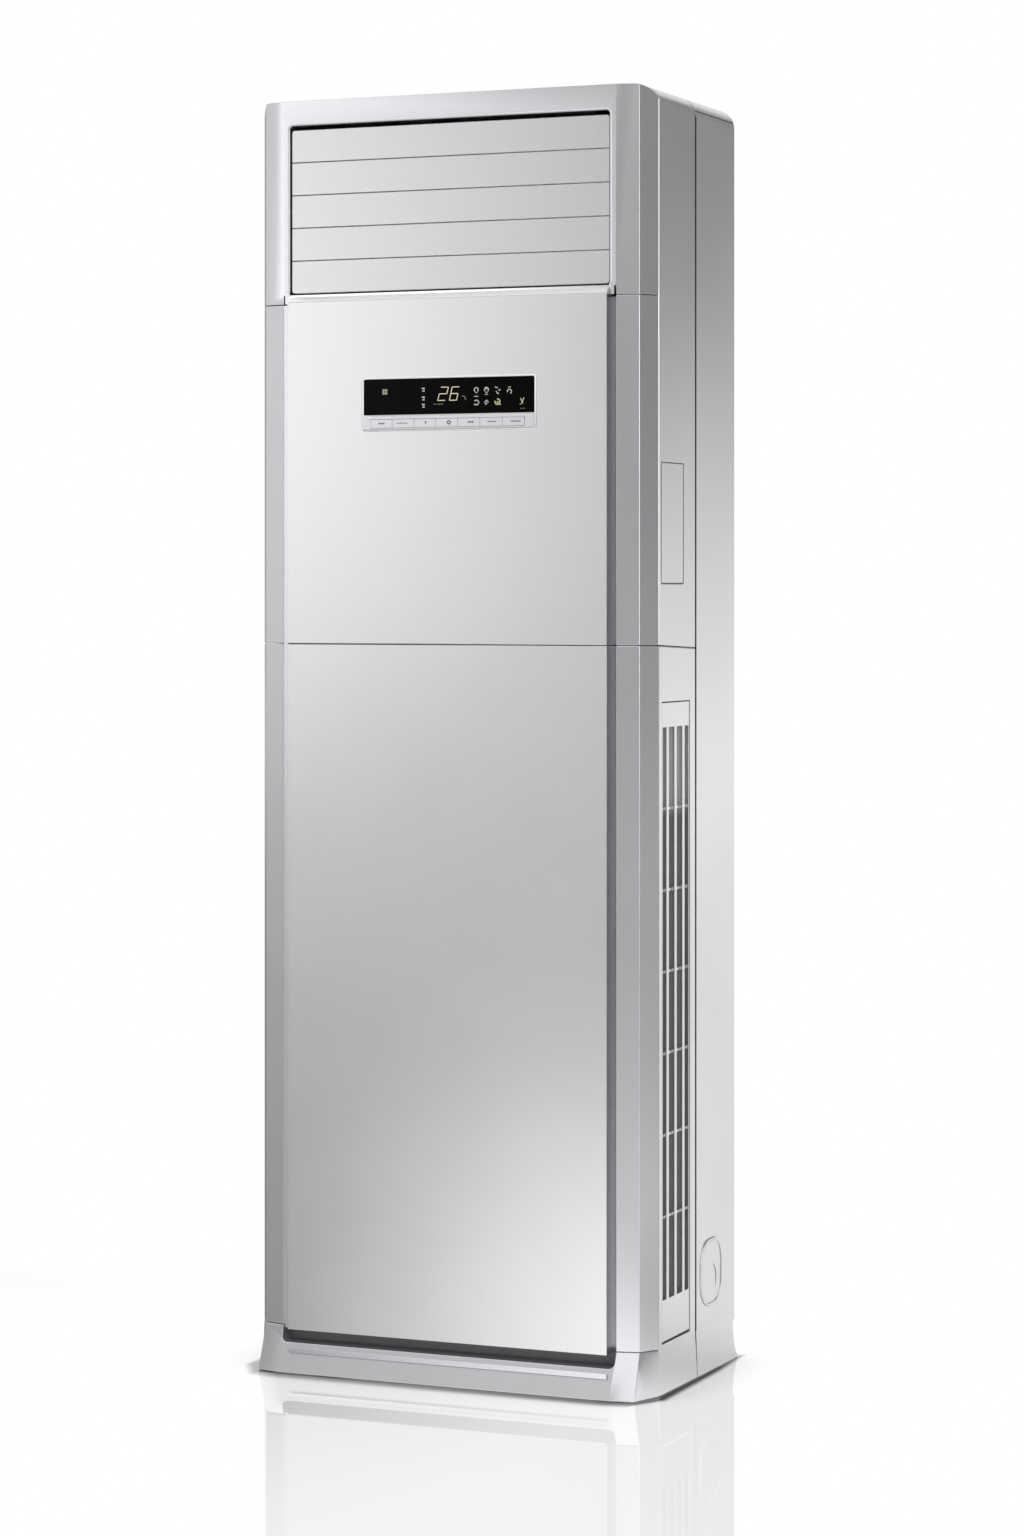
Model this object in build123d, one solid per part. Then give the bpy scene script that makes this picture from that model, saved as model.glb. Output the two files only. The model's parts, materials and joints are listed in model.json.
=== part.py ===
from build123d import *
import math
import os

os.makedirs("parts", exist_ok=True)

# A floor standing room air conditioner: a tall cabinet that draws air in through two side grilles near
# the floor, lifts it with a centrifugal blower through an inclined evaporator and throws it out through
# five louvre blades at the top. Millimetres, +Z up, front towards -Y, origin on the floor under the
# middle of the cabinet.

# ---------------------------------------------------------------- cabinet
height = 1852.0           # floor to the top
body_width = 625.0        # across the side panels
body_depth = 358.0        # flat front panels to the rear plate
foot_forward = 14.0       # the skirt's foot ahead of the flat front
foot_out = 5.5            # spread of the foot at each rear corner
foot_lift = 1.0           # skirt edge above the floor, the pads carry the weight
top_round = 28.0          # shoulder radius seen from the front
plastic = 2.5             # wall of a moulded part
sheet = 1.2               # wall of a sheet steel part
seam = 0.9                # visible joint between two casings
seam_groove = 3.2         # open groove between side panels and rear casing
seam_groove_depth = 2.6
fit_gap = 0.3             # clearance of a piece set into another
running_gap = 0.08        # radial clearance of a pin in its hole
base_top = 66.0           # joint between the foot skirt and the lower front housing
mid_seam = 1060.5         # joint between the lower and the upper casings
mid_seam_drop = 5.0       # fall of that joint along the side towards the rear
frame_skirt = 13.0        # the outlet frame's pilasters reach this far below the outlet

# ---------------------------------------------------------------- plan of the front
panel_margin = 62.5       # flat front panels to the side panels' plane
panel_depth = 33.0        # the flat panels stand this deep in front of the housing
panel_wall = 3.0
panel_bevel = 10.0        # 45 degree bevel along the upper panel's top
panel_bottom = 61.5
groove_width = 10.5       # open groove at each side of the flat panels
pilaster_back = 9.8       # pilaster edge behind the flat front
crease_out = 32.5         # first facet, edge to crease
crease_back = 7.6
corner_inset = 1.5        # front corner inside the side panel's plane
corner_back = 47.4        # front corner behind the flat front
side_seam_back = 191.0    # joint between side panel and rear casing, behind the flat front

# ---------------------------------------------------------------- air outlet
outlet_side_gap = 1.5     # the outlet is this much wider than the flat panels, each side
outlet_head = 36.0        # height of the frame above the outlet
outlet_height = 248.0
outlet_corner = 6.0       # upper corners of the frame's opening
outlet_depth = 125.0      # rear end of the throat behind the flat front
blade_count = 5
blade_back = 14.0         # blade faces behind the flat front
blade_pivot_depth = 12.0  # pivot behind the blade face
blade_gap = 0.5
blade_margin_low = 3.0
blade_margin_high = 6.0
blade_edge = 2.5
blade_belly = 8.5
blade_end_gap = 2.6
blade_corner = 5.0        # outer corners of the first and last blade
blade_pin_radius = 3.0
ear_radius = 6.5
ear_thickness = 4.0
crank_radius = 16.0
crank_angle = 42.5        # crank above the rearward direction when shut
crank_thickness = 3.0
crank_width = 10.0
crank_pin_radius = 2.5
link_thickness = 3.0
link_width = 9.0
link_clearance = 0.3
vane_count = 6
vane_pivot_back = 72.0
vane_front = 10.0         # vane ahead of its pivot
vane_rear = 46.0
vane_thickness = 2.5
vane_pin_radius = 2.0
vane_end_gap = 1.5
vane_link_arm = 34.0
vane_link_pin_radius = 1.5
vane_link_width = 8.0
vane_link_thickness = 4.0
vane_notch_height = 12.0
vane_notch_depth = 20.0
small_motor_radius = 10.0
small_motor_length = 16.0
motor_ears = 32.0         # across both screw ears of its flange
motor_ear_width = 12.0
motor_flange = 2.0
tab_width = 7.6           # raised tab where the frame ends beside the flat panel
tab_height = 18.0
tab_proud = 1.6
tab_reach = 1.2           # into the opening

# ---------------------------------------------------------------- display and keys
window_width = 272.0
window_shift = 6.5        # window to the right of the panel's middle
window_drop = 125.0       # outlet to the window's top
window_height = 73.5
window_corner = 4.0
window_recess = 0.8
window_thickness = 2.2
window_flange = 4.0
window_flange_thickness = 1.5
strip_height = 21.5
strip_proud = 5.0
strip_bevel = 4.0
strip_inset = 1.5         # dark gap at each end of the strip
key_count = 7
key_height = 12.0
key_margin = 14.0
key_gap = 0.5
key_travel = 1.0
key_cap = 2.4
key_stem = 4.0
board_thickness = 1.6

# ---------------------------------------------------------------- sides
grille_back = 59.0        # front edge of the intake grille behind the flat front
grille_width = 110.0
grille_bottom = 72.0
grille_top = 979.0
grille_wall = 2.5
grille_rim = 12.0
grille_joint = 1.0
slat_bottom = 133.0
slat_top = 944.0
bar_count = 3
bar_width = 9.0
bar_depth = 9.0
tie_count = 6
tie_height = 4.0
tie_setback = 3.5
hinge_inset = 4.0         # hinge line inside both faces of the grille
hinge_pin_radius = 2.0
hinge_pin_length = 4.0
jamb_depth = 16.0
jamb_wall = 2.0
filter_thickness = 4.0
filter_rib = 3.0
filter_columns = 3
filter_rows = 12
cover_back = 56.0
cover_width = 87.0
cover_bottom = 1148.0
cover_top = 1320.0
cover_corner = 4.0
cover_joint = 0.8
port_back = 255.6
port_height = 143.5
port_width = 90.0
port_length = 98.0
port_corner = 36.0
port_proud = 1.6
port_rim = 4.0
port_step = 1.0
cap_depth = 20.0          # rear top cap, from the top down
cap_lip = 1.3             # lip under the groove in front of it
plate_inset = 2.0         # rear plate set in from the rear edges
plate_flange = 14.0       # its folded sides

# ---------------------------------------------------------------- foot
recess_bottom = 43.0
recess_corner = 9.0
skirt_wall = 2.5
pad_radius = 20.0
pad_height = 14.0
pan_wall = 2.0
pan_height = 28.0
anchor_x = 250.0
anchor_y = 110.0
anchor_radius = 6.0
pad_x = 220.0
pad_y = 85.8
notch_height = 60.0       # rear edge of the foot steps forward below this
notch_depth = 11.0

# ---------------------------------------------------------------- air mover and coil
wheel_radius = 170.0
wheel_bore = 140.0        # inner edge of the blades
wheel_width = 130.0
wheel_height = 400.0      # axis above the floor
blade_number = 36
wheel_wall = 1.6          # thickness of one wheel blade
blade_lead = 8.0          # tip of a wheel blade ahead of its root, in degrees
blade_bow = 7.0
hub_radius = 22.0
shaft_radius = 6.0
scroll_front = 165.0      # front plate of the scroll behind the flat front
scroll_depth = 150.0
scroll_wall = 2.0
tongue_angle = 70.0
tongue_radius = 183.0
scroll_end_radius = 262.0
inlet_radius = 128.0
motor_radius = 62.0
motor_length = 84.0
motor_flare = 10.0        # flange at the motor's rear end
bracket_rim = 34.0        # bracket beyond the motor
bracket_slot = 40.0
bracket_slot_width = 10.0
inlet_flange = 18.0       # inlet ring beyond its throat
inlet_lip = 14.0
inlet_wall = 2.0
deck_height = 822.0
deck_wall = 2.0
coil_length = 600.0
coil_margin = 72.5        # coil to the side panels' plane, each side
coil_thickness = 44.0
coil_tilt = 20.0
fin_pitch = 15.0
fin_gap = 11.5
fin_web = 4.0             # solid middle of the fin block
fin_edge = 8.0
tube_radius = 4.75
bend_count = 7
drain_pan_back = 42.0
drain_pan_depth = 108.0
drain_pan_height = 34.0
drain_pan_side = 25.0     # drain pan beyond the coil, each side
deck_corner = 24.0        # passage for the pipes in the deck
gas_pipe_radius = 9.5
gas_tap = 80.0            # where the gas pipe leaves its header, along the coil
gas_front = 26.0          # gas pipe ahead of the port's middle
gas_above = 20.0
gas_nut = 20.0
liquid_tap = 45.0
liquid_front = 4.0
liquid_below = 22.0
liquid_nut = 14.0
liquid_pipe_radius = 4.75
pipe_inset = 42.5         # the liquid pipe's run, in from the side panels' plane
header_offset = 22.0      # the gas header beside the coil
box_depth = 55.0          # control box
box_height = 170.0
box_drop = 20.0
box_side_gap = 10.0
guide_wall = 8.0
bracket_hole_radius = 4.5
bracket_hole_spacing = 320.0
bracket_hole_drop = 72.0

# ---------------------------------------------------------------- worked out
front_y = -(body_depth - foot_forward) / 2
rear_y = front_y + body_depth
side_x = body_width / 2
outlet_width = body_width - 2 * panel_margin + 2 * outlet_side_gap
outlet_top = height - outlet_head
outlet_bottom = outlet_top - outlet_height
frame_bottom = outlet_bottom - frame_skirt
window_top = outlet_bottom - window_drop
window_bottom = window_top - window_height
strip_top = window_bottom + strip_height
coil_width = body_width - 2 * coil_margin
panel_x = side_x - panel_margin
groove_x = panel_x + groove_width
crease_x = groove_x + crease_out
corner_x = side_x - corner_inset
pilaster_y = front_y + pilaster_back
crease_y = pilaster_y + crease_back
corner_y = front_y + corner_back
seam_y = front_y + side_seam_back
housing_y = front_y + panel_depth
half_seam = seam / 2
far = 4 * height          # reach of cutting blocks
outlet_x = outlet_width / 2
outlet_y = front_y + outlet_depth
blade_pitch = (outlet_top - blade_margin_high - outlet_bottom - blade_margin_low) / blade_count
blade_height = blade_pitch - blade_gap
blade_y = front_y + blade_back + blade_pivot_depth
vane_y = front_y + vane_pivot_back
vane_pitch = outlet_width / vane_count
parts = {}


# ---------------------------------------------------------------- helpers
def block(x0, x1, y0, y1, z0, z1):
    """A box between two corners."""
    size = Box(x1 - x0, y1 - y0, z1 - z0)
    return Pos((x0 + x1) / 2, (y0 + y1) / 2, (z0 + z1) / 2) * size


def along_x(face, x0, x1):
    """A face drawn in (Y, Z), carried from x0 to x1."""
    return extrude(Plane.YZ.offset(x0) * face, amount=x1 - x0)


def along_y(face, y0, y1):
    """A face drawn in (X, Z), carried from y0 to y1."""
    return extrude(Plane.XZ.offset(-y1) * face, amount=y1 - y0)


def along_z(face, z0, z1):
    """A face drawn in (X, Y), carried from z0 to z1."""
    return extrude(Pos(0, 0, z0) * face, amount=z1 - z0)


def rod_x(y, z, radius, x0, x1):
    return along_x(Pos(y, z) * Circle(radius), x0, x1)


def rod_y(x, z, radius, y0, y1):
    return along_y(Pos(x, z) * Circle(radius), y0, y1)


def rod_z(x, y, radius, z0, z1):
    return along_z(Pos(x, y) * Circle(radius), z0, z1)


def polygon(*points):
    return make_face(Polyline(*points, close=True))


def rect(x0, x1, y0, y1, corner=0.0):
    """A rectangle between two corners, with rounded corners if asked."""
    width = x1 - x0
    depth = y1 - y0
    middle = Pos((x0 + x1) / 2, (y0 + y1) / 2)
    if corner > 0:
        return middle * RectangleRounded(width, depth, corner)
    return middle * Rectangle(width, depth)


def other_side(shape):
    """The same piece for the left-hand side of the cabinet."""
    return mirror(shape, about=Plane.YZ)


def keep(name, shape):
    parts[name] = shape


# ---------------------------------------------------------------- outer form
def plan(points):
    """A plan face from the points of its right-hand half, front to rear."""
    left = [(-x, y) for x, y in reversed(points)]
    return polygon(*points, *left)


def casing_plan(flare=0.0):
    """The cabinet's plan. flare runs from 0 at the skirt's joint to 1 at the floor."""
    forward = (foot_forward + pilaster_back) * flare
    points = [
        (groove_x - 2 * flare, pilaster_y - forward),
        (crease_x + flare, crease_y - forward),
        (corner_x + flare, corner_y - 0.15 * forward),
        (side_x + 0.6 * foot_out * flare, seam_y),
        (side_x + foot_out * flare, rear_y),
    ]
    return plan(points)


def shoulders(top, inset):
    """Front elevation of the cabinet above the foot: straight sides with rounded shoulders."""
    x = side_x - inset
    z = top - inset
    radius = top_round - inset
    cut = radius * (1 - math.sqrt(0.5))
    outline = [
        Line((-x, 0), (x, 0)),
        Line((x, 0), (x, z - radius)),
        ThreePointArc((x, z - radius), (x - cut, z - cut), (x - radius, z)),
        Line((x - radius, z), (-x + radius, z)),
        ThreePointArc((-x + radius, z), (-x + cut, z - cut), (-x, z - radius)),
        Line((-x, z - radius), (-x, 0)),
    ]
    return make_face(outline)


def casing(inset):
    """The whole cabinet as one solid, drawn in by inset: the outer skin for 0, its inside for a wall."""
    face = casing_plan()
    if inset > 0:
        face = offset(face, -inset, kind=Kind.INTERSECTION)
    upper = along_z(face, base_top, height) & along_y(shoulders(height, inset), pilaster_y, rear_y)
    sections = []
    for z, flare in ((foot_lift, 1.0), (base_top, 0.0)):
        ring = casing_plan(flare)
        if inset > 0:
            ring = offset(ring, -inset, kind=Kind.INTERSECTION)
        sections.append(Pos(0, 0, z) * ring)
    return upper + loft(sections, ruled=True)


outside = casing(0)
plastic_inside = casing(plastic)
steel_inside = casing(sheet)
plastic_shell = outside - plastic_inside
steel_shell = outside - steel_inside


def between_y(shape, y0, y1):
    return shape & block(-far, far, y0, y1, -far, far)


def between_z(shape, z0, z1):
    return shape & block(-far, far, -far, far, z0, z1)


def right_half(shape):
    return shape & block(0, far, -far, far, -far, far)


# ---------------------------------------------------------------- front housings and foot
def housing_section():
    """Plan of a front housing: both pilasters, the groove walls and the wall behind the flat panel."""
    rear = corner_y - half_seam
    points = [
        (groove_x, housing_y),
        (groove_x, pilaster_y),
        (crease_x, crease_y),
        (corner_x, corner_y),
        (corner_x, corner_y + 4 * plastic),
    ]
    solid = plan(points)
    hollow = offset(solid, -plastic, kind=Kind.INTERSECTION)
    wall = solid - hollow
    return wall & rect(-far, far, front_y - far, rear)


def make_housings():
    section = housing_section()
    keep("front_housing_lower", along_z(section, base_top + half_seam, mid_seam - half_seam))
    keep("front_housing_upper", along_z(section, mid_seam + half_seam, frame_bottom - half_seam))


def recess_opening():
    """The toe recess under the flat panel, seen from the front, with rounded lower corners."""
    return rect(-groove_x, groove_x, recess_bottom, base_top + 3 * recess_corner, recess_corner)


def make_skirt():
    """Front of the foot: a flared moulding with the recess above it and a shelf and wall behind."""
    skirt = between_y(outside - plastic_inside, front_y - far, corner_y - half_seam)
    skirt = between_z(skirt, foot_lift, base_top - half_seam)
    skirt -= along_y(recess_opening(), front_y - far, corner_y)
    shelf_face = offset(recess_opening(), skirt_wall) - recess_opening()
    pocket = along_y(shelf_face, pilaster_y - foot_forward, housing_y)
    pocket += along_y(offset(recess_opening(), skirt_wall), housing_y, housing_y + skirt_wall)
    pocket &= outside
    pocket = between_z(pocket, foot_lift, base_top - half_seam)
    keep("base_skirt", skirt + pocket)


# ---------------------------------------------------------------- flat front panels
def panel_shell(z0, z1, bevel):
    """A flat front panel: a tray open at the rear, with a bevel along its top if asked."""
    depth = panel_depth
    outer = polygon(
        (front_y, z0), (front_y + depth, z0), (front_y + depth, z1), (front_y + bevel, z1), (front_y, z1 - bevel)
    ) if bevel > 0 else rect(front_y, front_y + depth, z0, z1)
    inner = offset(outer, -panel_wall, kind=Kind.INTERSECTION)
    tray = along_x(outer, -panel_x, panel_x)
    tray -= along_x(inner, -panel_x + panel_wall, panel_x - panel_wall)
    tray -= block(-panel_x + panel_wall, panel_x - panel_wall, front_y + depth - 2 * panel_wall,
                  front_y + depth + 1, z0 + panel_wall, z1 - panel_wall)
    return tray


def window_opening(grow=0.0):
    x = window_width / 2 + grow
    return rect(window_shift - x, window_shift + x, window_bottom - grow, window_top + grow, window_corner)


def make_panels():
    lower = panel_shell(panel_bottom, mid_seam - half_seam, 0)
    upper = panel_shell(mid_seam + half_seam, outlet_bottom, panel_bevel)
    upper -= along_y(window_opening(), front_y - 1, front_y + panel_wall + 1)
    keep("front_panel_lower", lower)
    keep("front_panel_upper", upper)


# ---------------------------------------------------------------- display
inner_y = front_y + panel_wall
flange_y = inner_y + window_flange_thickness
key_row_width = window_width - 2 * strip_inset - 2 * key_margin
key_pitch = key_row_width / key_count
key_z = (window_bottom + strip_top - strip_bevel) / 2
strip_y = front_y - strip_proud


def key_x(number):
    return window_shift - key_row_width / 2 + (number + 0.5) * key_pitch


def make_display():
    """Black window set in from behind, with a flange that lies on the panel's inner face."""
    plug_x = window_width / 2 - fit_gap
    low = strip_top + fit_gap
    plug = rect(window_shift - plug_x, window_shift + plug_x, window_bottom - window_corner, window_top - fit_gap,
                window_corner)
    plug &= rect(-far, far, low, far)
    window = along_y(plug, front_y + window_recess, inner_y)
    flange = window_opening(window_flange) & rect(-far, far, low, far)
    window += along_y(flange, inner_y, flange_y)
    keep("display_window", window)


def key_face(number, gap):
    """Outline of one key in the strip, drawn in by gap."""
    half = key_pitch / 2 - key_gap / 2 - gap
    x = key_x(number)
    low = key_z - key_height / 2 + gap
    high = key_z + key_height / 2 - gap
    return rect(x - half, x + half, low, high)


def stem_face(number, grow):
    half = key_stem / 2 + grow
    x = key_x(number)
    return rect(x - half, x + half, key_z - half, key_z + half)


def make_key_strip():
    """Light bar along the window's lower edge with a bevelled top and one opening for each key."""
    x = window_width / 2 - strip_inset
    profile = polygon(
        (strip_y, window_bottom + fit_gap),
        (strip_y, strip_top - strip_bevel),
        (strip_y + strip_bevel, strip_top),
        (inner_y, strip_top),
        (inner_y, window_bottom + fit_gap),
    )
    strip = along_x(profile, window_shift - x, window_shift + x)
    strip &= along_y(window_opening(-fit_gap), strip_y - 1, inner_y)
    flange = window_opening(window_flange) & rect(-far, far, -far, strip_top)
    strip += along_y(flange, inner_y, flange_y)
    for number in range(key_count):
        cap = key_face(number, -fit_gap)
        strip -= along_y(cap, strip_y - 1, strip_y + key_cap + key_travel + 0.2)
        strip -= along_y(stem_face(number, fit_gap), strip_y, flange_y + 1)
    keep("key_strip", strip)


stem_end = flange_y + 1.0
board_y = stem_end + key_travel + 0.2


def make_keys():
    """Each key is a cap with a square stem that reaches back to its switch on the board."""
    for number in range(key_count):
        cap = along_y(key_face(number, 0), strip_y - 0.4, strip_y + key_cap)
        stem = along_y(stem_face(number, 0), strip_y + key_cap, stem_end)
        keep("key_%d" % (number + 1), cap + stem)


def make_board():
    """Circuit board behind the window, held by four posts on the window's flange."""
    x = window_width / 2 - 4
    low = window_bottom - 2
    high = window_top + 2
    board = block(window_shift - x, window_shift + x, board_y, board_y + board_thickness, low, high)
    for side in (-1, 1):
        for z in (strip_top + 8, window_top - 4):
            board += rod_y(window_shift + side * (x - 8), z, 3.0, flange_y, board_y)
    keep("display_board", board)


# ---------------------------------------------------------------- outlet frame
def outlet_walls():
    """Side cheeks, floor and ceiling of the outlet throat, as one square tube."""
    outer_x = outlet_x + plastic
    tube = block(-outer_x, outer_x, pilaster_y, outlet_y, outlet_bottom - plastic, outlet_top + plastic)
    tube -= block(-outlet_x, outlet_x, pilaster_y - 1, outlet_y + 1, outlet_bottom, outlet_top)
    # the upper flat panel closes the front of the floor, so the floor starts behind it
    tube -= block(-outer_x, outer_x, pilaster_y - 1, housing_y, outlet_bottom - 2 * plastic, outlet_bottom)
    return tube


def blade_z(number):
    """Pivot height of a louvre blade, the first one uppermost."""
    return outlet_top - blade_margin_high - (number + 0.5) * blade_pitch


def vane_x(number):
    return -outlet_x + (number + 0.5) * vane_pitch


def make_outlet_frame():
    frame = between_y(plastic_shell, front_y - far, corner_y - half_seam)
    frame = between_z(frame, frame_bottom + half_seam, far)
    opening = rect(-outlet_x, outlet_x, frame_bottom - 2 * outlet_corner, outlet_top, outlet_corner)
    frame -= along_y(opening, front_y, pilaster_y + plastic)
    frame -= block(-groove_x, groove_x, front_y, pilaster_y + plastic + 1, 0, outlet_bottom)
    frame += outlet_walls()
    low = frame_bottom + half_seam
    tab = polygon(
        (outlet_x - tab_reach, low), (outlet_x - tab_reach + tab_width, low),
        (outlet_x - tab_reach + tab_width, low + tab_height), (outlet_x, low + tab_height),
        (outlet_x - tab_reach, low + tab_height - 3 * tab_reach),
    )
    tab = along_y(tab, pilaster_y - tab_proud, pilaster_y + plastic)
    frame += [tab, other_side(tab)]
    for number in range(blade_count):
        z = blade_z(number)
        frame -= rod_x(blade_y, z, blade_pin_radius + running_gap, -outlet_x - 2 * plastic, outlet_x + 2 * plastic)
    for number in range(vane_count):
        x = vane_x(number)
        low = outlet_bottom - 2 * plastic
        frame -= rod_z(x, vane_y, vane_pin_radius + running_gap, low, outlet_top + 2 * plastic)
    keep("front_frame", frame)


# ---------------------------------------------------------------- louvre blades
cheek_x = outlet_x + plastic
blade_x = outlet_x - blade_end_gap
crank_x = cheek_x + 1.5
link_x = crank_x + crank_thickness + link_clearance
crank_end_x = link_x + link_thickness + 1.0
crank_y = blade_y + crank_radius * math.cos(math.radians(crank_angle))
crank_rise = crank_radius * math.sin(math.radians(crank_angle))


def blade_section():
    """Flat face, thin edges and a rounded belly at the back, drawn about the pivot."""
    face = -blade_pivot_depth
    half = blade_height / 2
    back = face + blade_edge
    bead = 0.8
    outline = [
        Line((face, -half + bead), (face, half - bead)),
        Line((face, half - bead), (face + bead, half)),
        Line((face + bead, half), (back, half)),
        ThreePointArc((back, half), (face + blade_belly, 0), (back, -half)),
        Line((back, -half), (face + bead, -half)),
        Line((face + bead, -half), (face, -half + bead)),
    ]
    return make_face(outline)


def ear_section():
    """End lug that carries the pin: a five-sided tab on the blade's back."""
    root = -blade_pivot_depth + blade_edge
    r = ear_radius
    return polygon((root, -r), (0.2 * r, -r), (0.8 * r, 0), (0.2 * r, r), (root, r))


def corner_cuts(z, up):
    """What is cut off both ends of a blade to round its two upper (up = 1) or lower (up = -1) corners."""
    r = blade_corner
    square = rect(blade_x - r, blade_x + 1, min(z - up * r, z + up), max(z - up * r, z + up))
    square -= Pos(blade_x - r, z - up * r) * Circle(r)
    cut = along_y(square, front_y, blade_y - blade_pivot_depth + 2 * blade_belly)
    return [cut, other_side(cut)]


def make_blades():
    for number in range(blade_count):
        place = Pos(blade_y, blade_z(number))
        blade = along_x(place * blade_section(), -blade_x, blade_x)
        z = blade_z(number)
        if number == 0:
            blade -= corner_cuts(z + blade_height / 2, 1)
        if number == blade_count - 1:
            blade -= corner_cuts(z - blade_height / 2, -1)
        blade += along_x(place * ear_section(), blade_x - ear_thickness, blade_x)
        blade += along_x(place * ear_section(), -blade_x, -blade_x + ear_thickness)
        shaft_end = cheek_x + motor_flange + 0.5 * small_motor_length if number == 0 else cheek_x + 1.0
        blade += rod_x(blade_y, z, blade_pin_radius, blade_x - 1, shaft_end)
        blade += rod_x(blade_y, z, blade_pin_radius, -crank_x, -blade_x + 1)
        w = crank_width / 2
        arm = polygon((-w, -w), (crank_radius, -0.8 * w), (crank_radius + w, 0), (crank_radius, 0.8 * w), (-w, w))
        arm = Pos(blade_y, z) * Rot(0, 0, crank_angle) * arm
        blade += along_x(arm, -crank_x - crank_thickness, -crank_x)
        blade += rod_x(crank_y, z + crank_rise, crank_pin_radius, -crank_end_x, -crank_x - crank_thickness / 2)
        keep("louver_blade_%d" % (number + 1), blade)


def make_blade_link():
    """Bar that joins the five crank pins, so one motor turns every blade."""
    low = blade_z(blade_count - 1) + crank_rise
    high = blade_z(0) + crank_rise
    middle = (low + high) / 2
    bar = Pos(crank_y, middle) * SlotCenterToCenter(high - low, link_width, rotation=90)
    for number in range(blade_count):
        clearance = running_gap if number == 0 else link_clearance
        bar -= Pos(crank_y, blade_z(number) + crank_rise) * Circle(crank_pin_radius + clearance)
    keep("louver_link", along_x(bar, -link_x - link_thickness, -link_x))


def blade_motor():
    """Flat stepper motor on the right cheek, in line with the top blade's pin."""
    z = blade_z(0)
    flange = Pos(blade_y, z) * SlotOverall(motor_ears, motor_ear_width, rotation=90)
    flange += Pos(blade_y, z) * Circle(small_motor_radius)
    motor = along_x(flange, cheek_x, cheek_x + motor_flange)
    motor += rod_x(blade_y, z, small_motor_radius, cheek_x + motor_flange, cheek_x + motor_flange + small_motor_length)
    motor -= rod_x(blade_y, z, blade_pin_radius + running_gap, cheek_x - 1,
                   cheek_x + motor_flange + 0.5 * small_motor_length + 1)
    return motor


# ---------------------------------------------------------------- vertical vanes
vane_low = outlet_bottom + vane_end_gap
vane_high = outlet_top - vane_end_gap
vane_middle = (vane_low + vane_high) / 2
link_pin_y = vane_y + vane_link_arm


def make_vanes():
    """Upright vanes behind the blades, each with pins at both ends and a notch for the link bar."""
    for number in range(vane_count):
        x = vane_x(number)
        rear = vane_y + vane_rear
        t = vane_thickness / 2
        leaf = polygon((-t, vane_y - vane_front + t), (0, vane_y - vane_front), (t, vane_y - vane_front + t),
                       (t, rear - 6 * t), (0.4 * t, rear), (-0.4 * t, rear), (-t, rear - 6 * t))
        vane = along_z(Pos(x, 0) * leaf, vane_low, vane_high)
        low = vane_middle - vane_notch_height / 2
        high = vane_middle + vane_notch_height / 2
        vane -= block(x - 5, x + 5, rear - vane_notch_depth, rear + 1, low, high)
        vane += rod_z(x, link_pin_y, vane_link_pin_radius, low - 1, high + 1)
        top = outlet_top + plastic
        if number == 0:
            top += motor_flange + 0.5 * small_motor_length
        vane += rod_z(x, vane_y, vane_pin_radius, vane_high - 1, top)
        vane += rod_z(x, vane_y, vane_pin_radius, outlet_bottom - plastic, vane_low + 1)
        keep("vane_%d" % (number + 1), vane)


def make_vane_link():
    length = (vane_count - 1) * vane_pitch
    bar = Pos(0, link_pin_y) * SlotCenterToCenter(length, vane_link_width)
    for number in range(vane_count):
        clearance = running_gap if number == 0 else link_clearance
        bar -= Pos(vane_x(number), link_pin_y) * Circle(vane_link_pin_radius + clearance)
    low = vane_middle - vane_link_thickness / 2
    keep("vane_link", along_z(bar, low, low + vane_link_thickness))


def vane_motor():
    """The same motor on the throat's ceiling, in line with the first vane's pin."""
    x = vane_x(0)
    z = outlet_top + plastic
    flange = Pos(x, vane_y) * SlotOverall(motor_ears, motor_ear_width)
    flange += Pos(x, vane_y) * Circle(small_motor_radius)
    motor = along_z(flange, z, z + motor_flange)
    motor += rod_z(x, vane_y, small_motor_radius, z + motor_flange, z + motor_flange + small_motor_length)
    motor -= rod_z(x, vane_y, vane_pin_radius + running_gap, z - 1, z + motor_flange + 0.5 * small_motor_length + 1)
    return motor


def make_sweep_motors():
    keep("sweep_motors", Compound([blade_motor(), vane_motor()]))


# ---------------------------------------------------------------- side panels
grille_y0 = front_y + grille_back
grille_y1 = grille_y0 + grille_width
flank_slope = (side_x - corner_x) / (seam_y - corner_y)


def flank_x(y):
    """Outer face of the side panel at y."""
    return corner_x + flank_slope * (y - corner_y)


def side_wall(z_low, z_high, front_drop, rear_drop):
    """Side panel between the front corner and the rear casing, up to a joint that falls to the rear."""
    y0 = corner_y + half_seam
    y1 = seam_y - half_seam
    span = polygon(
        (y0, z_low - front_drop), (y1, z_low - rear_drop), (y1, z_high), (y0, z_high)
    )
    return right_half(plastic_shell) & along_x(span, 0, far)


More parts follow.
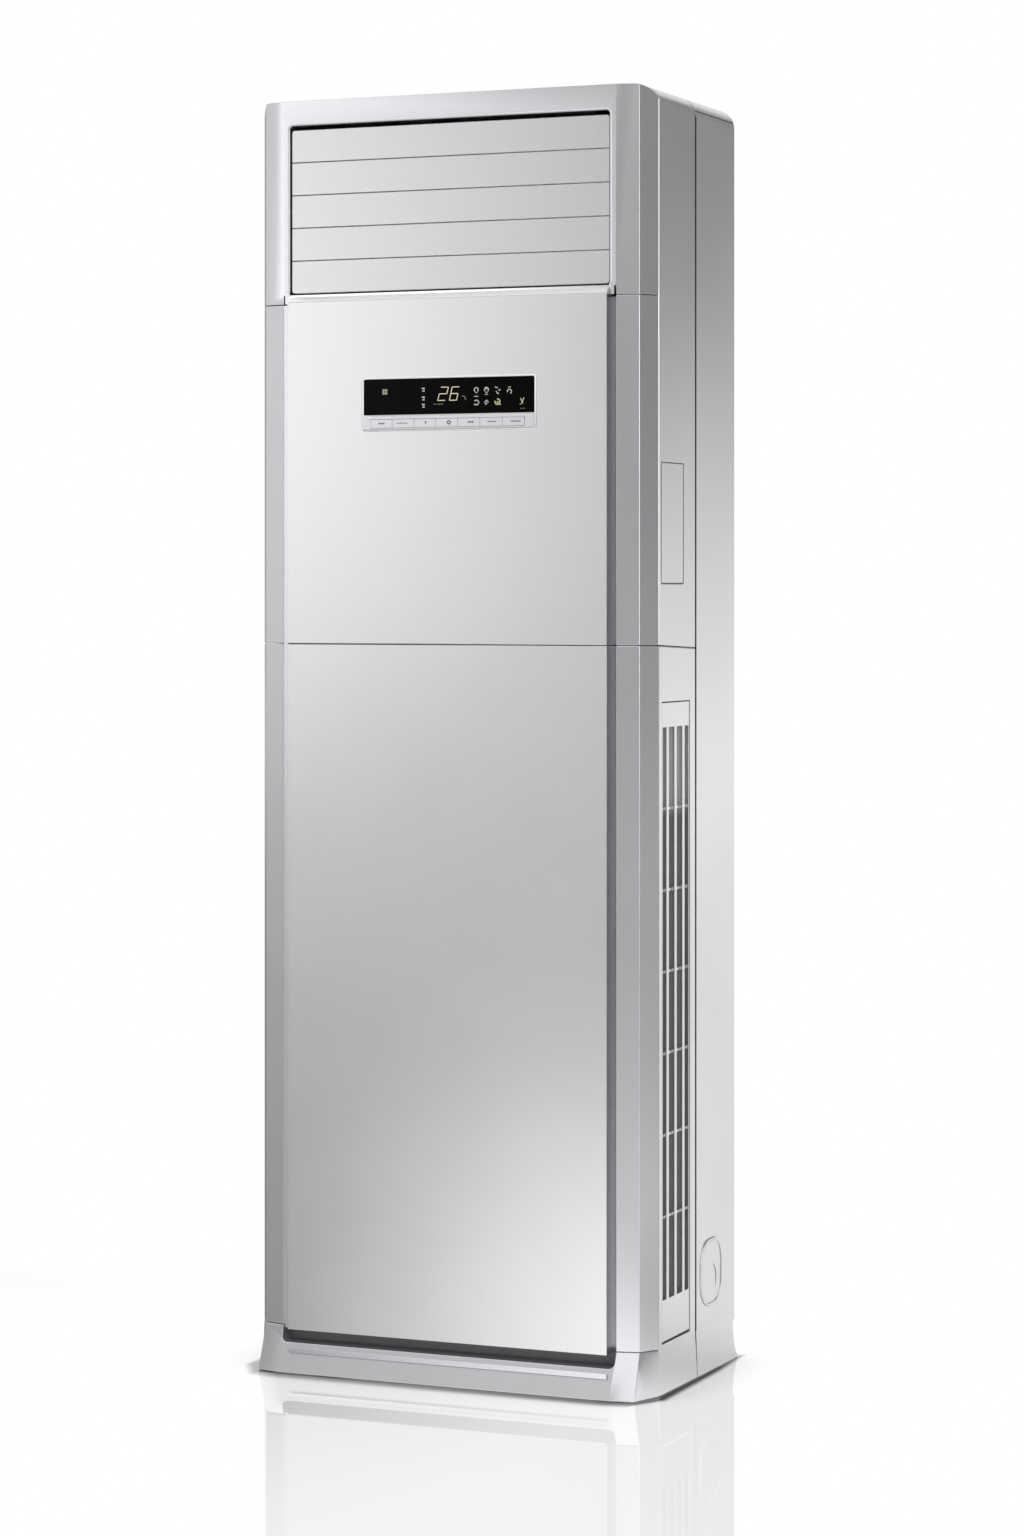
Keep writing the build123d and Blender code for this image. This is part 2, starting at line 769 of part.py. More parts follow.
def make_side_lower():
    y0 = corner_y + half_seam
    y1 = seam_y - half_seam
    top = mid_seam - half_seam
    drop = mid_seam_drop
    span = polygon((y0, foot_lift), (y1, foot_lift), (y1, top - drop), (y0, top))
    wall = right_half(plastic_shell) & along_x(span, 0, far)
    inside = flank_x(grille_y0) - plastic
    hole_y0 = grille_y0 - grille_joint
    hole_y1 = grille_y1 + grille_joint
    hole_z0 = grille_bottom - grille_joint
    hole_z1 = grille_top + grille_joint
    jamb = block(inside - jamb_depth, inside + plastic / 2, hole_y0 - jamb_wall, hole_y1 + jamb_wall,
                 hole_z0 - jamb_wall, hole_z1 + jamb_wall)
    wall += jamb & outside
    wall -= block(0, far, hole_y0, hole_y1, hole_z0, hole_z1)
    for y0, y1 in ((hole_y0 - 2 * jamb_wall, hole_y0 + 1), (hole_y1 - 1, hole_y1 + 2 * jamb_wall)):
        wall -= rod_y(hinge_x, hinge_z, hinge_pin_radius + running_gap, y0, y1)
    keep("side_panel_lower_right", wall)
    keep("side_panel_lower_left", other_side(wall))


hinge_x = flank_x(grille_y0) - hinge_inset
hinge_z = grille_bottom + hinge_inset


def make_side_upper():
    wall = side_wall(mid_seam + half_seam, far, 0, mid_seam_drop)
    wall -= block(0, side_x - top_round + half_seam, -far, far, height - 2 * plastic, far)
    cut = rect(front_y + cover_back, front_y + cover_back + cover_width, cover_bottom, cover_top, cover_corner)
    wall -= along_x(cut, side_x - 20, side_x + 20)
    keep("side_panel_upper_right", wall)
    keep("side_panel_upper_left", other_side(wall))
    joint = cover_joint
    plug = rect(front_y + cover_back + joint, front_y + cover_back + cover_width - joint,
                cover_bottom + joint, cover_top - joint, cover_corner - joint)
    cover = along_x(plug, 0, side_x) & right_half(plastic_shell)
    flange = offset(plug, 6.0)
    seat = casing(plastic) - casing(2 * plastic)
    cover += along_x(flange, 0, side_x) & right_half(seat)
    keep("handle_covers", Compound([cover, other_side(cover)]))


def grille_bars():
    """Window openings of the intake grille in (Y, Z), one column between each two bars."""
    inner0 = grille_y0 + grille_wall
    inner1 = grille_y1 - grille_wall
    pitch = grille_width / (bar_count + 0.45)
    middle = (grille_y0 + grille_y1) / 2
    centres = [middle + (number - (bar_count - 1) / 2) * pitch for number in range(bar_count)]
    edges = [inner0]
    for centre in centres:
        edges += [centre - bar_width / 2, centre + bar_width / 2]
    edges.append(inner1)
    return edges


def make_grille():
    """Tilt-out intake grille: a shallow tray with upright bars, set-back ties and two hinge pins."""
    face_x = flank_x(grille_y0)
    back_x = face_x - grille_rim
    profile = rect(back_x, face_x, grille_bottom, grille_top)
    body = along_y(profile, grille_y0, grille_y1) & outside
    rounding = block(hinge_x, far, -far, far, -far, hinge_z)
    rounding -= rod_y(hinge_x, hinge_z, hinge_inset, -far, far)
    body -= rounding
    hollow = block(back_x - 1, face_x - grille_wall, grille_y0 + grille_wall, grille_y1 - grille_wall,
                   grille_bottom + 2 * hinge_inset, grille_top - grille_wall)
    hollow -= block(back_x - 1, face_x, grille_y0, grille_y1, slat_bottom - grille_wall, slat_bottom)
    hollow -= block(back_x - 1, face_x, grille_y0, grille_y1, slat_top, slat_top + grille_wall)
    edges = grille_bars()
    for low, high in zip(edges[1::2], edges[2::2]):
        hollow -= block(face_x - bar_depth, face_x, low, high, slat_bottom, slat_top)
    body -= hollow
    step = (slat_top - slat_bottom) / (tie_count + 1)
    for low, high in zip(edges[0::2], edges[1::2]):
        body -= block(face_x - grille_wall - 1, far, low, high, slat_bottom, slat_top)
        for number in range(1, tie_count + 1):
            z = slat_bottom + number * step
            body += block(face_x - bar_depth, face_x - tie_setback, low, high, z - tie_height / 2, z + tie_height / 2)
    for y0, y1 in ((grille_y0 - hinge_pin_length, grille_y0 + 1), (grille_y1 - 1, grille_y1 + hinge_pin_length)):
        y0 = max(y0, grille_y0 - grille_joint - jamb_wall)
        y1 = min(y1, grille_y1 + grille_joint + jamb_wall)
        body += rod_y(hinge_x, hinge_z, hinge_pin_radius, y0, y1)
    keep("intake_grille_right", body)
    keep("intake_grille_left", other_side(body))


def make_filter():
    """Washable filter: a ribbed frame with a fine net, held in the back of the grille."""
    back_x = flank_x(grille_y0) - grille_rim
    y0 = grille_y0 + grille_wall + fit_gap
    y1 = grille_y1 - grille_wall - fit_gap
    z0 = slat_bottom + fit_gap
    z1 = slat_top - fit_gap
    frame = block(back_x, back_x + filter_thickness / 2, y0, y1, z0, z1)
    wide = (y1 - y0 - filter_rib) / filter_columns
    tall = (z1 - z0 - filter_rib) / filter_rows
    for column in range(filter_columns):
        for row in range(filter_rows):
            low_y = y0 + filter_rib + column * wide
            low_z = z0 + filter_rib + row * tall
            frame -= block(back_x - 1, back_x + filter_thickness / 4, low_y, low_y + wide - filter_rib,
                           low_z, low_z + tall - filter_rib)
    keep("intake_filter_right", frame)
    keep("intake_filter_left", other_side(frame))


# ---------------------------------------------------------------- rear casing and tops
cap_bottom = height - cap_depth


def foot_notch():
    """Step in the rear edge of the foot, with a curve that runs back out to the floor."""
    tall = notch_height
    outline = [
        Line((rear_y + 1, tall), (rear_y - notch_depth, tall - 0.8 * notch_depth)),
        Line((rear_y - notch_depth, tall - 0.8 * notch_depth), (rear_y - notch_depth, 0.5 * tall)),
        ThreePointArc((rear_y - notch_depth, 0.5 * tall), (rear_y - 0.75 * notch_depth, 0.22 * tall),
                      (rear_y, foot_lift)),
        Line((rear_y, foot_lift), (rear_y + 1, foot_lift)),
        Line((rear_y + 1, foot_lift), (rear_y + 1, tall)),
    ]
    return make_face(outline)


def port_outline(grow=0.0):
    """Outline of the pipe port, a rounded upright rectangle."""
    place = Pos(front_y + port_back, port_height)
    return place * RectangleRounded(port_width + 2 * grow, port_length + 2 * grow, port_corner + grow)


def make_rear_sides():
    front = seam_y + seam_groove
    wall = between_y(right_half(steel_shell), front, far)
    wall = between_z(wall, foot_lift, cap_bottom - seam)
    wall &= block(side_x - 2 * sheet - 1, far, -far, far, -far, far) - block(
        0, side_x - sheet - 0.001, rear_y - 2 * sheet, far, -far, far)
    # its front edge is folded inward and forward, which leaves the groove beside the side panel
    low, high = base_top, cap_bottom - seam
    wall += block(side_x - plate_flange, side_x - sheet / 2, front, front + sheet, low, high)
    wall += block(side_x - seam_groove_depth - sheet, side_x - seam_groove_depth, seam_y + half_seam, front + sheet,
                  low, high)
    wall -= along_x(foot_notch(), 0, far)
    wall -= along_x(port_outline(), side_x - 20, side_x + 20)
    keep("rear_side_right", wall)
    keep("rear_side_left", other_side(wall))
    proud = side_x + port_proud
    plug = along_x(port_outline(-seam / 2), side_x - sheet, proud)
    plug += along_x(port_outline(port_rim), side_x - sheet - port_step, side_x - sheet)
    plug -= along_x(port_outline(-port_rim), proud - port_step, proud)
    keep("pipe_port_covers", Compound([plug, other_side(plug)]))


def make_rear_plate():
    """Rear wall of the cabinet: a flat sheet with side flanges and two holes for a wall bracket."""
    x = side_x - sheet
    high = cap_bottom - seam
    back = rear_y - plate_inset
    plate = block(-x, x, back - sheet, back, base_top, high)
    for side in (-1, 1):
        inner = side * (x - sheet)
        flange = block(min(side * x, inner), max(side * x, inner), back - plate_flange, back, base_top, high)
        plate += flange
        hole_x = side * bracket_hole_spacing / 2
        plate -= rod_y(hole_x, height - bracket_hole_drop, bracket_hole_radius, back - 2 * sheet, back + 1)
    keep("rear_plate", plate & steel_inside)


def make_tops():
    """Flat top cover between the shoulders, and the rear cap that closes the steel casing."""
    x = side_x - top_round - half_seam
    cover = between_y(plastic_shell, corner_y + half_seam, seam_y - half_seam)
    cover &= block(-x, x, -far, far, height - 2 * plastic, far)
    keep("top_cover", cover)
    cap = between_y(plastic_shell, seam_y + seam_groove, far)
    lip = casing(plastic - fit_gap) - casing(plastic + cap_lip)
    cap += between_y(lip, seam_y + half_seam, seam_y + seam_groove + plastic)
    cap = between_z(cap, cap_bottom, far)
    keep("rear_top_cap", cap)


# ---------------------------------------------------------------- base
inner_x = side_x - plate_flange - fit_gap
pan_front = housing_y + skirt_wall
pan_rear = rear_y - plate_inset - sheet
ear_rise = 24.0           # the pan's rear ears above the rear plate's lower edge


def make_base():
    """Sheet steel pan with turned-up edges, rear ears and anchor holes, on four rubber pads."""
    x1 = inner_x
    y1 = rear_y - notch_depth
    pan = block(-x1, x1, pan_front, y1, pad_height, pad_height + pan_height)
    pan -= block(-x1 + pan_wall, x1 - pan_wall, pan_front + pan_wall, y1 - pan_wall,
                 pad_height + pan_wall, far)
    pads = []
    for x in (-anchor_x, anchor_x):
        for y in (-anchor_y, anchor_y):
            pan -= rod_z(x, y, anchor_radius, 0, pad_height + 2 * pan_wall)
            pads.append(rod_z(math.copysign(pad_x, x), math.copysign(pad_y, y), pad_radius, 0, pad_height))
    # ears on the pan's rear edge stand against the rear plate and are screwed to it
    for side in (-1, 1):
        x = side * anchor_x
        ear = block(x - 20, x + 20, y1 - pan_wall, pan_rear, pad_height + pan_height - 4, base_top + ear_rise)
        ear -= block(x - 21, x + 21, pan_rear - pan_wall, pan_rear + 1, 0, base_top - 4)
        ear -= block(x - 21, x + 21, y1 - pan_wall - 1, pan_rear - pan_wall, base_top - 2, far)
        pan += ear
    keep("base_pan", pan)
    keep("foot_pads", Compound(pads))


# ---------------------------------------------------------------- blower
scroll_y0 = front_y + scroll_front
scroll_y1 = scroll_y0 + scroll_depth
wheel_y0 = scroll_y0 + 10
wheel_y1 = wheel_y0 + wheel_width
motor_y1 = scroll_y1 + 4.5
motor_y0 = motor_y1 - motor_length


def scroll_outline(grow=0.0):
    """Logarithmic spiral from the tongue round to the outlet, then straight up to the deck."""
    sweep = 360.0 - tongue_angle
    rate = math.log(scroll_end_radius / tongue_radius) / sweep
    points = []
    steps = 20
    for step in range(steps + 1):
        angle = tongue_angle + sweep * step / steps
        radius = tongue_radius * math.exp(rate * sweep * step / steps) + grow
        points.append((radius * math.cos(math.radians(angle)), wheel_height + radius * math.sin(math.radians(angle))))
    start = points[0]
    end = points[-1]
    throat_x = start[0] - 2 * grow
    outline = [
        Polyline(*points),
        Line(end, (end[0], deck_height)),
        Line((end[0], deck_height), (throat_x, deck_height)),
        Line((throat_x, deck_height), (throat_x, start[1] + 10)),
        Line((throat_x, start[1] + 10), start),
    ]
    return make_face(outline)


def make_scroll():
    outer = along_y(scroll_outline(scroll_wall), scroll_y0, scroll_y1)
    inner = along_y(scroll_outline(0), scroll_y0 + scroll_wall, scroll_y1 - scroll_wall)
    inner += block(tongue_x, scroll_end_radius, scroll_y0 + scroll_wall, scroll_y1 - scroll_wall,
                   deck_height - 40, deck_height + 1)
    scroll = outer - inner
    scroll -= rod_y(0, wheel_height, inlet_radius + 4, scroll_y0 - 1, scroll_y0 + scroll_wall + 1)
    scroll -= rod_y(0, wheel_height, motor_radius + 20, scroll_y1 - scroll_wall - 1, scroll_y1 + 1)
    keep("scroll_housing", scroll)


tongue_x = tongue_radius * math.cos(math.radians(tongue_angle))


def ring_about_axis(profile):
    """A profile drawn as (radius, Y) turned about the blower's axis."""
    face = Plane(origin=(0, 0, wheel_height), x_dir=(1, 0, 0), z_dir=(0, 0, 1)) * profile
    return revolve(face, axis=Axis((0, 0, wheel_height), (0, 1, 0)))


def wheel_blade_points():
    """Outline of one forward-curved blade in plan: a bowed strip of even thickness in three flats."""
    lead = math.radians(blade_lead)
    tip = (wheel_radius * math.cos(lead), wheel_radius * math.sin(lead))
    points = []
    for share in (0.0, 0.4, 0.75, 1.0):
        bow = 4 * blade_bow * share * (1 - share)
        points.append((wheel_bore + share * (tip[0] - wheel_bore), share * tip[1] - bow))
    back = [(x - 0.4 * wheel_wall, y + wheel_wall) for x, y in points]
    return points + back[::-1]


def make_wheel():
    """Forward-curved centrifugal wheel: front ring, blades and a dished back that carries the hub."""
    front_ring = rect(wheel_bore - 3, wheel_radius + 1.5, wheel_y0, wheel_y0 + 4)
    wheel = ring_about_axis(front_ring)
    dish_y = wheel_y1 - 3
    hub_y = motor_y0 - 26
    dish = polygon(
        (shaft_radius + running_gap, hub_y - 8), (hub_radius, hub_y - 8), (hub_radius, hub_y),
        (motor_radius + 16, hub_y), (wheel_bore - 8, dish_y), (wheel_radius, dish_y),
        (wheel_radius, wheel_y1), (wheel_bore - 10, wheel_y1), (motor_radius + 14, hub_y + 3),
        (hub_radius, hub_y + 3), (hub_radius, hub_y + 14), (shaft_radius + running_gap, hub_y + 14),
    )
    wheel += ring_about_axis(dish)
    blade_face = polygon(*wheel_blade_points())
    blade = along_y(Pos(0, wheel_height) * blade_face, wheel_y0 + 2, wheel_y1 - 1)
    hub_axis = Axis((0, 0, wheel_height), (0, 1, 0))
    blades = [blade.rotate(hub_axis, 360 * number / blade_number) for number in range(blade_number)]
    wheel = wheel.fuse(*blades)
    keep("blower_wheel", wheel)


def make_motor():
    """Fan motor inside the wheel's dish, on a windowed bracket behind the scroll."""
    motor = rod_y(0, wheel_height, motor_radius, motor_y0, motor_y1)
    motor = fillet(motor.faces().sort_by(Axis.Y)[0].edges(), 10)
    motor += rod_y(0, wheel_height, motor_radius + motor_flare, motor_y1 - 2, motor_y1 + 2)
    motor += rod_y(0, wheel_height, shaft_radius, motor_y0 - 40, motor_y0 + 1)
    keep("fan_motor", motor)
    y0 = scroll_y1
    y1 = motor_y1 - 2
    bracket = rod_y(0, wheel_height, motor_radius + bracket_rim, y0, y1)
    bracket -= rod_y(0, wheel_height, motor_radius + fit_gap, y0 - 1, y1 + 1)
    for number in range(4):
        window = Pos(motor_radius + 0.6 * bracket_rim, 0) * SlotOverall(bracket_slot, bracket_slot_width, rotation=90)
        window = Rot(0, 0, 90 * number + 45) * window
        bracket -= along_y(Pos(0, wheel_height) * window, y0 - 1, y1 + 1)
    keep("motor_bracket", bracket)


def make_inlet_ring():
    """Bell mouth that leads air from the plenum into the eye of the wheel."""
    outer = inlet_radius + inlet_flange
    lip_radius = inlet_radius + inlet_lip
    lip_y = scroll_y0 - inlet_lip
    inner_y = wheel_y0 + 3 * inlet_wall
    mid = inlet_radius + 1.5 * inlet_wall
    root = inlet_radius + 1.85 * inlet_wall
    profile = [
        Line((outer, scroll_y0), (outer, scroll_y0 - inlet_wall)),
        Line((outer, scroll_y0 - inlet_wall), (lip_radius, lip_y)),
        ThreePointArc((lip_radius, lip_y), (mid, scroll_y0 - 3 * inlet_wall), (inlet_radius, inner_y)),
        Line((inlet_radius, inner_y), (inlet_radius + inlet_wall, inner_y)),
        ThreePointArc((inlet_radius + inlet_wall, inner_y), (mid, scroll_y0 + 3 * inlet_wall), (root, scroll_y0)),
        Line((root, scroll_y0), (outer, scroll_y0)),
    ]
    keep("inlet_ring", ring_about_axis(make_face(profile)))


# ---------------------------------------------------------------- deck, coil and pipes

def make_deck():
    """Shelf between the blower room and the coil room, open above the scroll's outlet."""
    deck_x = inner_x
    deck = block(-deck_x, deck_x, housing_y + plastic, rear_y - plate_inset - sheet,
                 deck_height, deck_height + deck_wall)
    deck -= block(tongue_x, scroll_end_radius, scroll_y0 + scroll_wall, scroll_y1 - scroll_wall,
                  deck_height - 1, deck_height + deck_wall + 1)
    for side in (-1, 1):
        edge = side * deck_x
        inner = side * (deck_x - jamb_depth - 6)
        deck -= block(min(edge, inner) - 1, max(edge, inner) + 1, grille_y0 - 5, grille_y1 + 5,
                      deck_height - 1, deck_height + deck_wall + 1)
    # the pipes pass through the left rear corner
    port_y = front_y + port_back
    deck -= block(-deck_x - 1, -deck_x + 2 * deck_corner, port_y - 1.6 * deck_corner, port_y + deck_corner,
                  deck_height - 1, deck_height + deck_wall + 1)
    keep("deck_plate", deck)


coil_foot_z = deck_height + deck_wall + 2.0
tilt = math.radians(coil_tilt)
coil_y = front_y + drain_pan_back + drain_pan_depth / 2


def coil_frame(shape):
    """Place a shape drawn about the coil's lower edge (local Z along the coil) at the coil's tilt."""
    lift = coil_foot_z + coil_thickness / 2 * math.sin(tilt)
    return Pos(0, coil_y, lift) * Rot(-coil_tilt, 0, 0) * shape


def make_coil():
    half = coil_width / 2
    thick = coil_thickness / 2
    core = block(-half, half, -thick, thick, 0, coil_length)
    count = int((coil_width - 2 * fin_gap) // fin_pitch)
    for number in range(count):
        x = -half + fin_gap + number * fin_pitch
        for side in (-1, 1):
            core -= block(x, x + fin_gap, min(side * fin_web / 2, side * thick), max(side * fin_web / 2, side * thick),
                          fin_edge, coil_length - fin_edge)
    keep("evaporator_core", coil_frame(core))


def tube_length(radius, length):
    """A straight tube from the origin up, drawn with eight sides."""
    return extrude(RegularPolygon(radius, 8), length)


def return_bend(x, z, radius):
    """A half turn of tube beside the coil, from one row of holes to the next."""
    section = Plane(origin=(x, 0, z + radius), z_dir=(1, 0, 0)) * RegularPolygon(tube_radius, 8)
    return revolve(section, axis=Axis((x, 0, z), (0, 1, 0)), revolution_arc=180)


def make_coil_tubes():
    """Return bends at the right end, and a header with stubs at the left end of the coil."""
    half = coil_width / 2
    pitch = coil_length / (bend_count + 0.5)
    tubes = []
    for number in range(bend_count):
        z = pitch * (number + 0.75)
        tubes.append(coil_frame(return_bend(half, z, pitch / 4)))
    header = tube_length(gas_pipe_radius, 0.8 * coil_length)
    header = Pos(-half - header_offset, 0, 0.1 * coil_length) * header
    for number in range(4):
        z = coil_length * (0.2 + 0.2 * number)
        stub = Rot(0, 90, 0) * tube_length(tube_radius, header_offset)
        header += Pos(-half - header_offset, 0, z) * stub
    tubes.append(coil_frame(header))
    keep("evaporator_tubes", Compound(tubes))


def make_drain_pan():
    y0 = front_y + drain_pan_back
    x = coil_width / 2 + drain_pan_side
    z0 = deck_height + deck_wall
    outer = loft([
        Pos(0, 0, z0) * rect(-x + 6, x - 6, y0 + 6, y0 + drain_pan_depth - 6),
        Pos(0, 0, z0 + drain_pan_height) * rect(-x, x, y0, y0 + drain_pan_depth),
    ])
    inner = loft([
        Pos(0, 0, z0 + 2) * rect(-x + 8, x - 8, y0 + 8, y0 + drain_pan_depth - 8),
        Pos(0, 0, z0 + drain_pan_height + 0.1) * rect(-x + 2, x - 2, y0 + 2, y0 + drain_pan_depth - 2),
    ])
    keep("drain_pan", outer - inner)


def pipe_run(points, radius, bend):
    path = FilletPolyline(*points, radius=bend)
    section = Plane(path @ 0, z_dir=path % 0) * RegularPolygon(radius, 8)
    return sweep(section, path=path)


def coil_point(x, along):
    """A place on the coil's middle plane, given its distance up the coil."""
    lift = coil_foot_z + coil_thickness / 2 * math.sin(tilt)
    return (x, coil_y + along * math.sin(tilt), lift + along * math.cos(tilt))


def make_pipes():
    """Gas and liquid pipes from the coil down the left side to the port, ending in flare nuts."""
    port_y = front_y + port_back
    end_x = -side_x + sheet + 11
    runs = []

    start = coil_point(-coil_width / 2 - header_offset, gas_tap)
    meet_y = start[1] + gas_pipe_radius * (1 / math.cos(tilt) + math.tan(tilt)) + fit_gap
    drop_y = port_y - gas_front
    z = port_height + gas_above
    gas = [(start[0], meet_y, start[2]), (start[0], drop_y, start[2]), (start[0], drop_y, z),
           (end_x + gas_nut, drop_y, z)]
    runs.append(pipe_with_nut(gas, gas_pipe_radius, 1.9 * gas_pipe_radius, gas_nut))

    start = coil_point(-coil_width / 2, liquid_tap)
    x = pipe_inset - side_x
    drop_y = port_y - liquid_front
    z = port_height - liquid_below
    liquid = [start, (x, start[1], start[2]), (x, drop_y, start[2]), (x, drop_y, z), (end_x + liquid_nut, drop_y, z)]
    runs.append(pipe_with_nut(liquid, liquid_pipe_radius, 1.9 * liquid_pipe_radius, liquid_nut))
    keep("refrigerant_pipes", Compound(runs))


def pipe_with_nut(points, radius, bend, nut_length):
    """A bent pipe with a hexagonal flare nut on its last end, which points towards the left side."""
    tube = pipe_run(points, radius, bend)
    x, y, z = points[-1]
    nut = Pos(x, y, z) * Rot(0, -90, 0) * extrude(RegularPolygon(1.6 * radius, 6), nut_length)
    return tube + nut


def make_control_box():
    """Sheet box for the electronics, open towards the front plate of the scroll that carries it."""
    x0 = tongue_x + box_side_gap
    x1 = scroll_end_radius - box_side_gap
    z0 = deck_height - box_drop - box_height
    box = block(x0, x1, scroll_y0 - box_depth, scroll_y0, z0, z0 + box_height)
    box -= block(x0 + sheet, x1 - sheet, scroll_y0 - box_depth + sheet, scroll_y0 + 1, z0 + sheet,
                 z0 + box_height - sheet)
    keep("control_box", box)


def make_air_guide():
    """Foam shell in the upper rear corner that turns the rising air forward into the throat."""
    top = height - plastic - cap_lip - fit_gap
    rear = rear_y - plate_inset - sheet
    front = outlet_y + plastic
    low = outlet_bottom - frame_skirt
    mouth = outlet_top + 3 * plastic
    arc_mid = (front + 0.58 * (rear - front), mouth - 0.28 * (top - low))
    outline = [
        Line((rear, low), (rear, top)),
        Line((rear, top), (front, top)),
        Line((front, top), (front, mouth)),
        ThreePointArc((front, mouth), arc_mid, (rear - guide_wall, low)),
        Line((rear - guide_wall, low), (rear, low)),
    ]
    x = side_x - top_round - plastic
    face = make_face(outline)
    guide = along_x(face, -x, x)
    guide -= along_x(offset(face, -guide_wall), -x + guide_wall, x - guide_wall)
    keep("air_guide", guide)


make_housings()
make_skirt()
make_panels()
make_display()
make_key_strip()
make_keys()
make_board()
make_outlet_frame()
make_blades()
make_blade_link()
make_vanes()
make_vane_link()
make_sweep_motors()
make_side_lower()
make_side_upper()
make_grille()
make_filter()
make_rear_sides()
make_rear_plate()
make_tops()
make_base()
make_scroll()
make_wheel()
make_motor()
make_inlet_ring()
make_deck()
make_coil()
make_coil_tubes()
make_drain_pan()
make_pipes()
make_control_box()
make_air_guide()

for name, shape in parts.items():
    export_step(shape, "parts/%s.step" % name)
print(len(parts), "nodes")
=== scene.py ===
# %% [markdown]
# A tall floor standing air conditioner, dressed in Blender.
# The casing, the blades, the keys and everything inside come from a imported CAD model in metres: its origin
# is on the floor under the cabinet, +Z is up and the flat front panels face -Y. This lesson adds what the
# solids don't carry: rounded edges, paint, the lit signs behind the dark window, the studio and the camera.

import json
import math

import bpy
import numpy as np
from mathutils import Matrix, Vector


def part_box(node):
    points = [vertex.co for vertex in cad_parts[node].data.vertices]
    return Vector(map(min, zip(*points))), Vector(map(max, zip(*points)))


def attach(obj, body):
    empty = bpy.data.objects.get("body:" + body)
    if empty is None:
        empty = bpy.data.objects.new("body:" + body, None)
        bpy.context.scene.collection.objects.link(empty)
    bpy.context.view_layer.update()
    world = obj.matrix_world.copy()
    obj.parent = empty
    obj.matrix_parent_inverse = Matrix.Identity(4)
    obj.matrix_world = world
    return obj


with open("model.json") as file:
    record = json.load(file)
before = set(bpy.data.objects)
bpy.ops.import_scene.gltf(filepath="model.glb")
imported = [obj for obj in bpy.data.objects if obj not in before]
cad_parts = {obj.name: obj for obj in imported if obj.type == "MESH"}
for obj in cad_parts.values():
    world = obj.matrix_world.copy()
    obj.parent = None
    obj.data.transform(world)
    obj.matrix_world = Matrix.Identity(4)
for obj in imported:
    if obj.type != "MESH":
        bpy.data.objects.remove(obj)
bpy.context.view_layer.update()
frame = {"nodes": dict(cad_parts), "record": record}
nodes = frame["nodes"]

# %% [markdown]
# The photograph was taken from the right of the cabinet with a long lens and a level camera: upright edges
# stay upright in it. A level camera with a vertical shift does the same. Tilting the camera down would
# make the cabinet's edges lean together, so the lens is shifted instead, as on a view camera.

# %% Camera
turn = math.radians(23.0)  # how far the camera stands round to the right
camera_data = bpy.data.cameras.new("camera")
camera_data.sensor_fit = "VERTICAL"
camera_data.sensor_height = 36.0
camera_data.sensor_width = 36.0
camera_data.lens = 90.23
camera_data.shift_y = -0.1146
camera = bpy.data.objects.new("camera", camera_data)
camera.location = (2.2434, -5.2085, 1.136)
camera.rotation_euler = (math.radians(90), 0, turn)
bpy.context.scene.collection.objects.link(camera)
bpy.context.scene.camera = camera
print("camera", [round(v, 3) for v in camera.location], "lens", camera_data.lens)

# %% [markdown]
# Every finish below is a small network of nodes. Four helpers keep them readable: one starts a material,
# one adds a node with its settings, one joins two sockets, and one gives the place a pattern follows.

# %% Helpers for materials


def new_material(name):
    """A material with an empty node tree."""
    material = bpy.data.materials.new(name)
    material.use_nodes = True
    tree = material.node_tree
    tree.nodes.clear()
    return material, tree


def add(tree, kind, **settings):
    """A node of one kind; settings set its properties, and inputs are given by their names."""
    made = tree.nodes.new("ShaderNode" + kind)
    inputs = settings.pop("inputs", {})
    for key, value in settings.items():
        setattr(made, key, value)
    for key, value in inputs.items():
        made.inputs[key].default_value = value
    return made


def join(tree, source, target, out=0, into=0):
    """A link from one node's output to another's input."""
    tree.links.new(source.outputs[out], target.inputs[into])


def object_place(tree, scale=(1, 1, 1)):
    """Object coordinates in metres, stretched by a Mapping node."""
    place = add(tree, "TexCoord")
    mapping = add(tree, "Mapping", inputs={"Scale": scale})
    join(tree, place, mapping, "Object", "Vector")
    return mapping


print("helpers ready")

# %% [markdown]
# The front mouldings are silver lacquer over plastic. Seen close, such lacquer is never one colour: tiny
# metal flakes lighten and darken it, it drifts slightly between bluish and warm over a hand's width, and
# its surface has a faint orange-peel ripple. Three noises of three sizes give flakes, drift and ripple.

# %% Lacquer


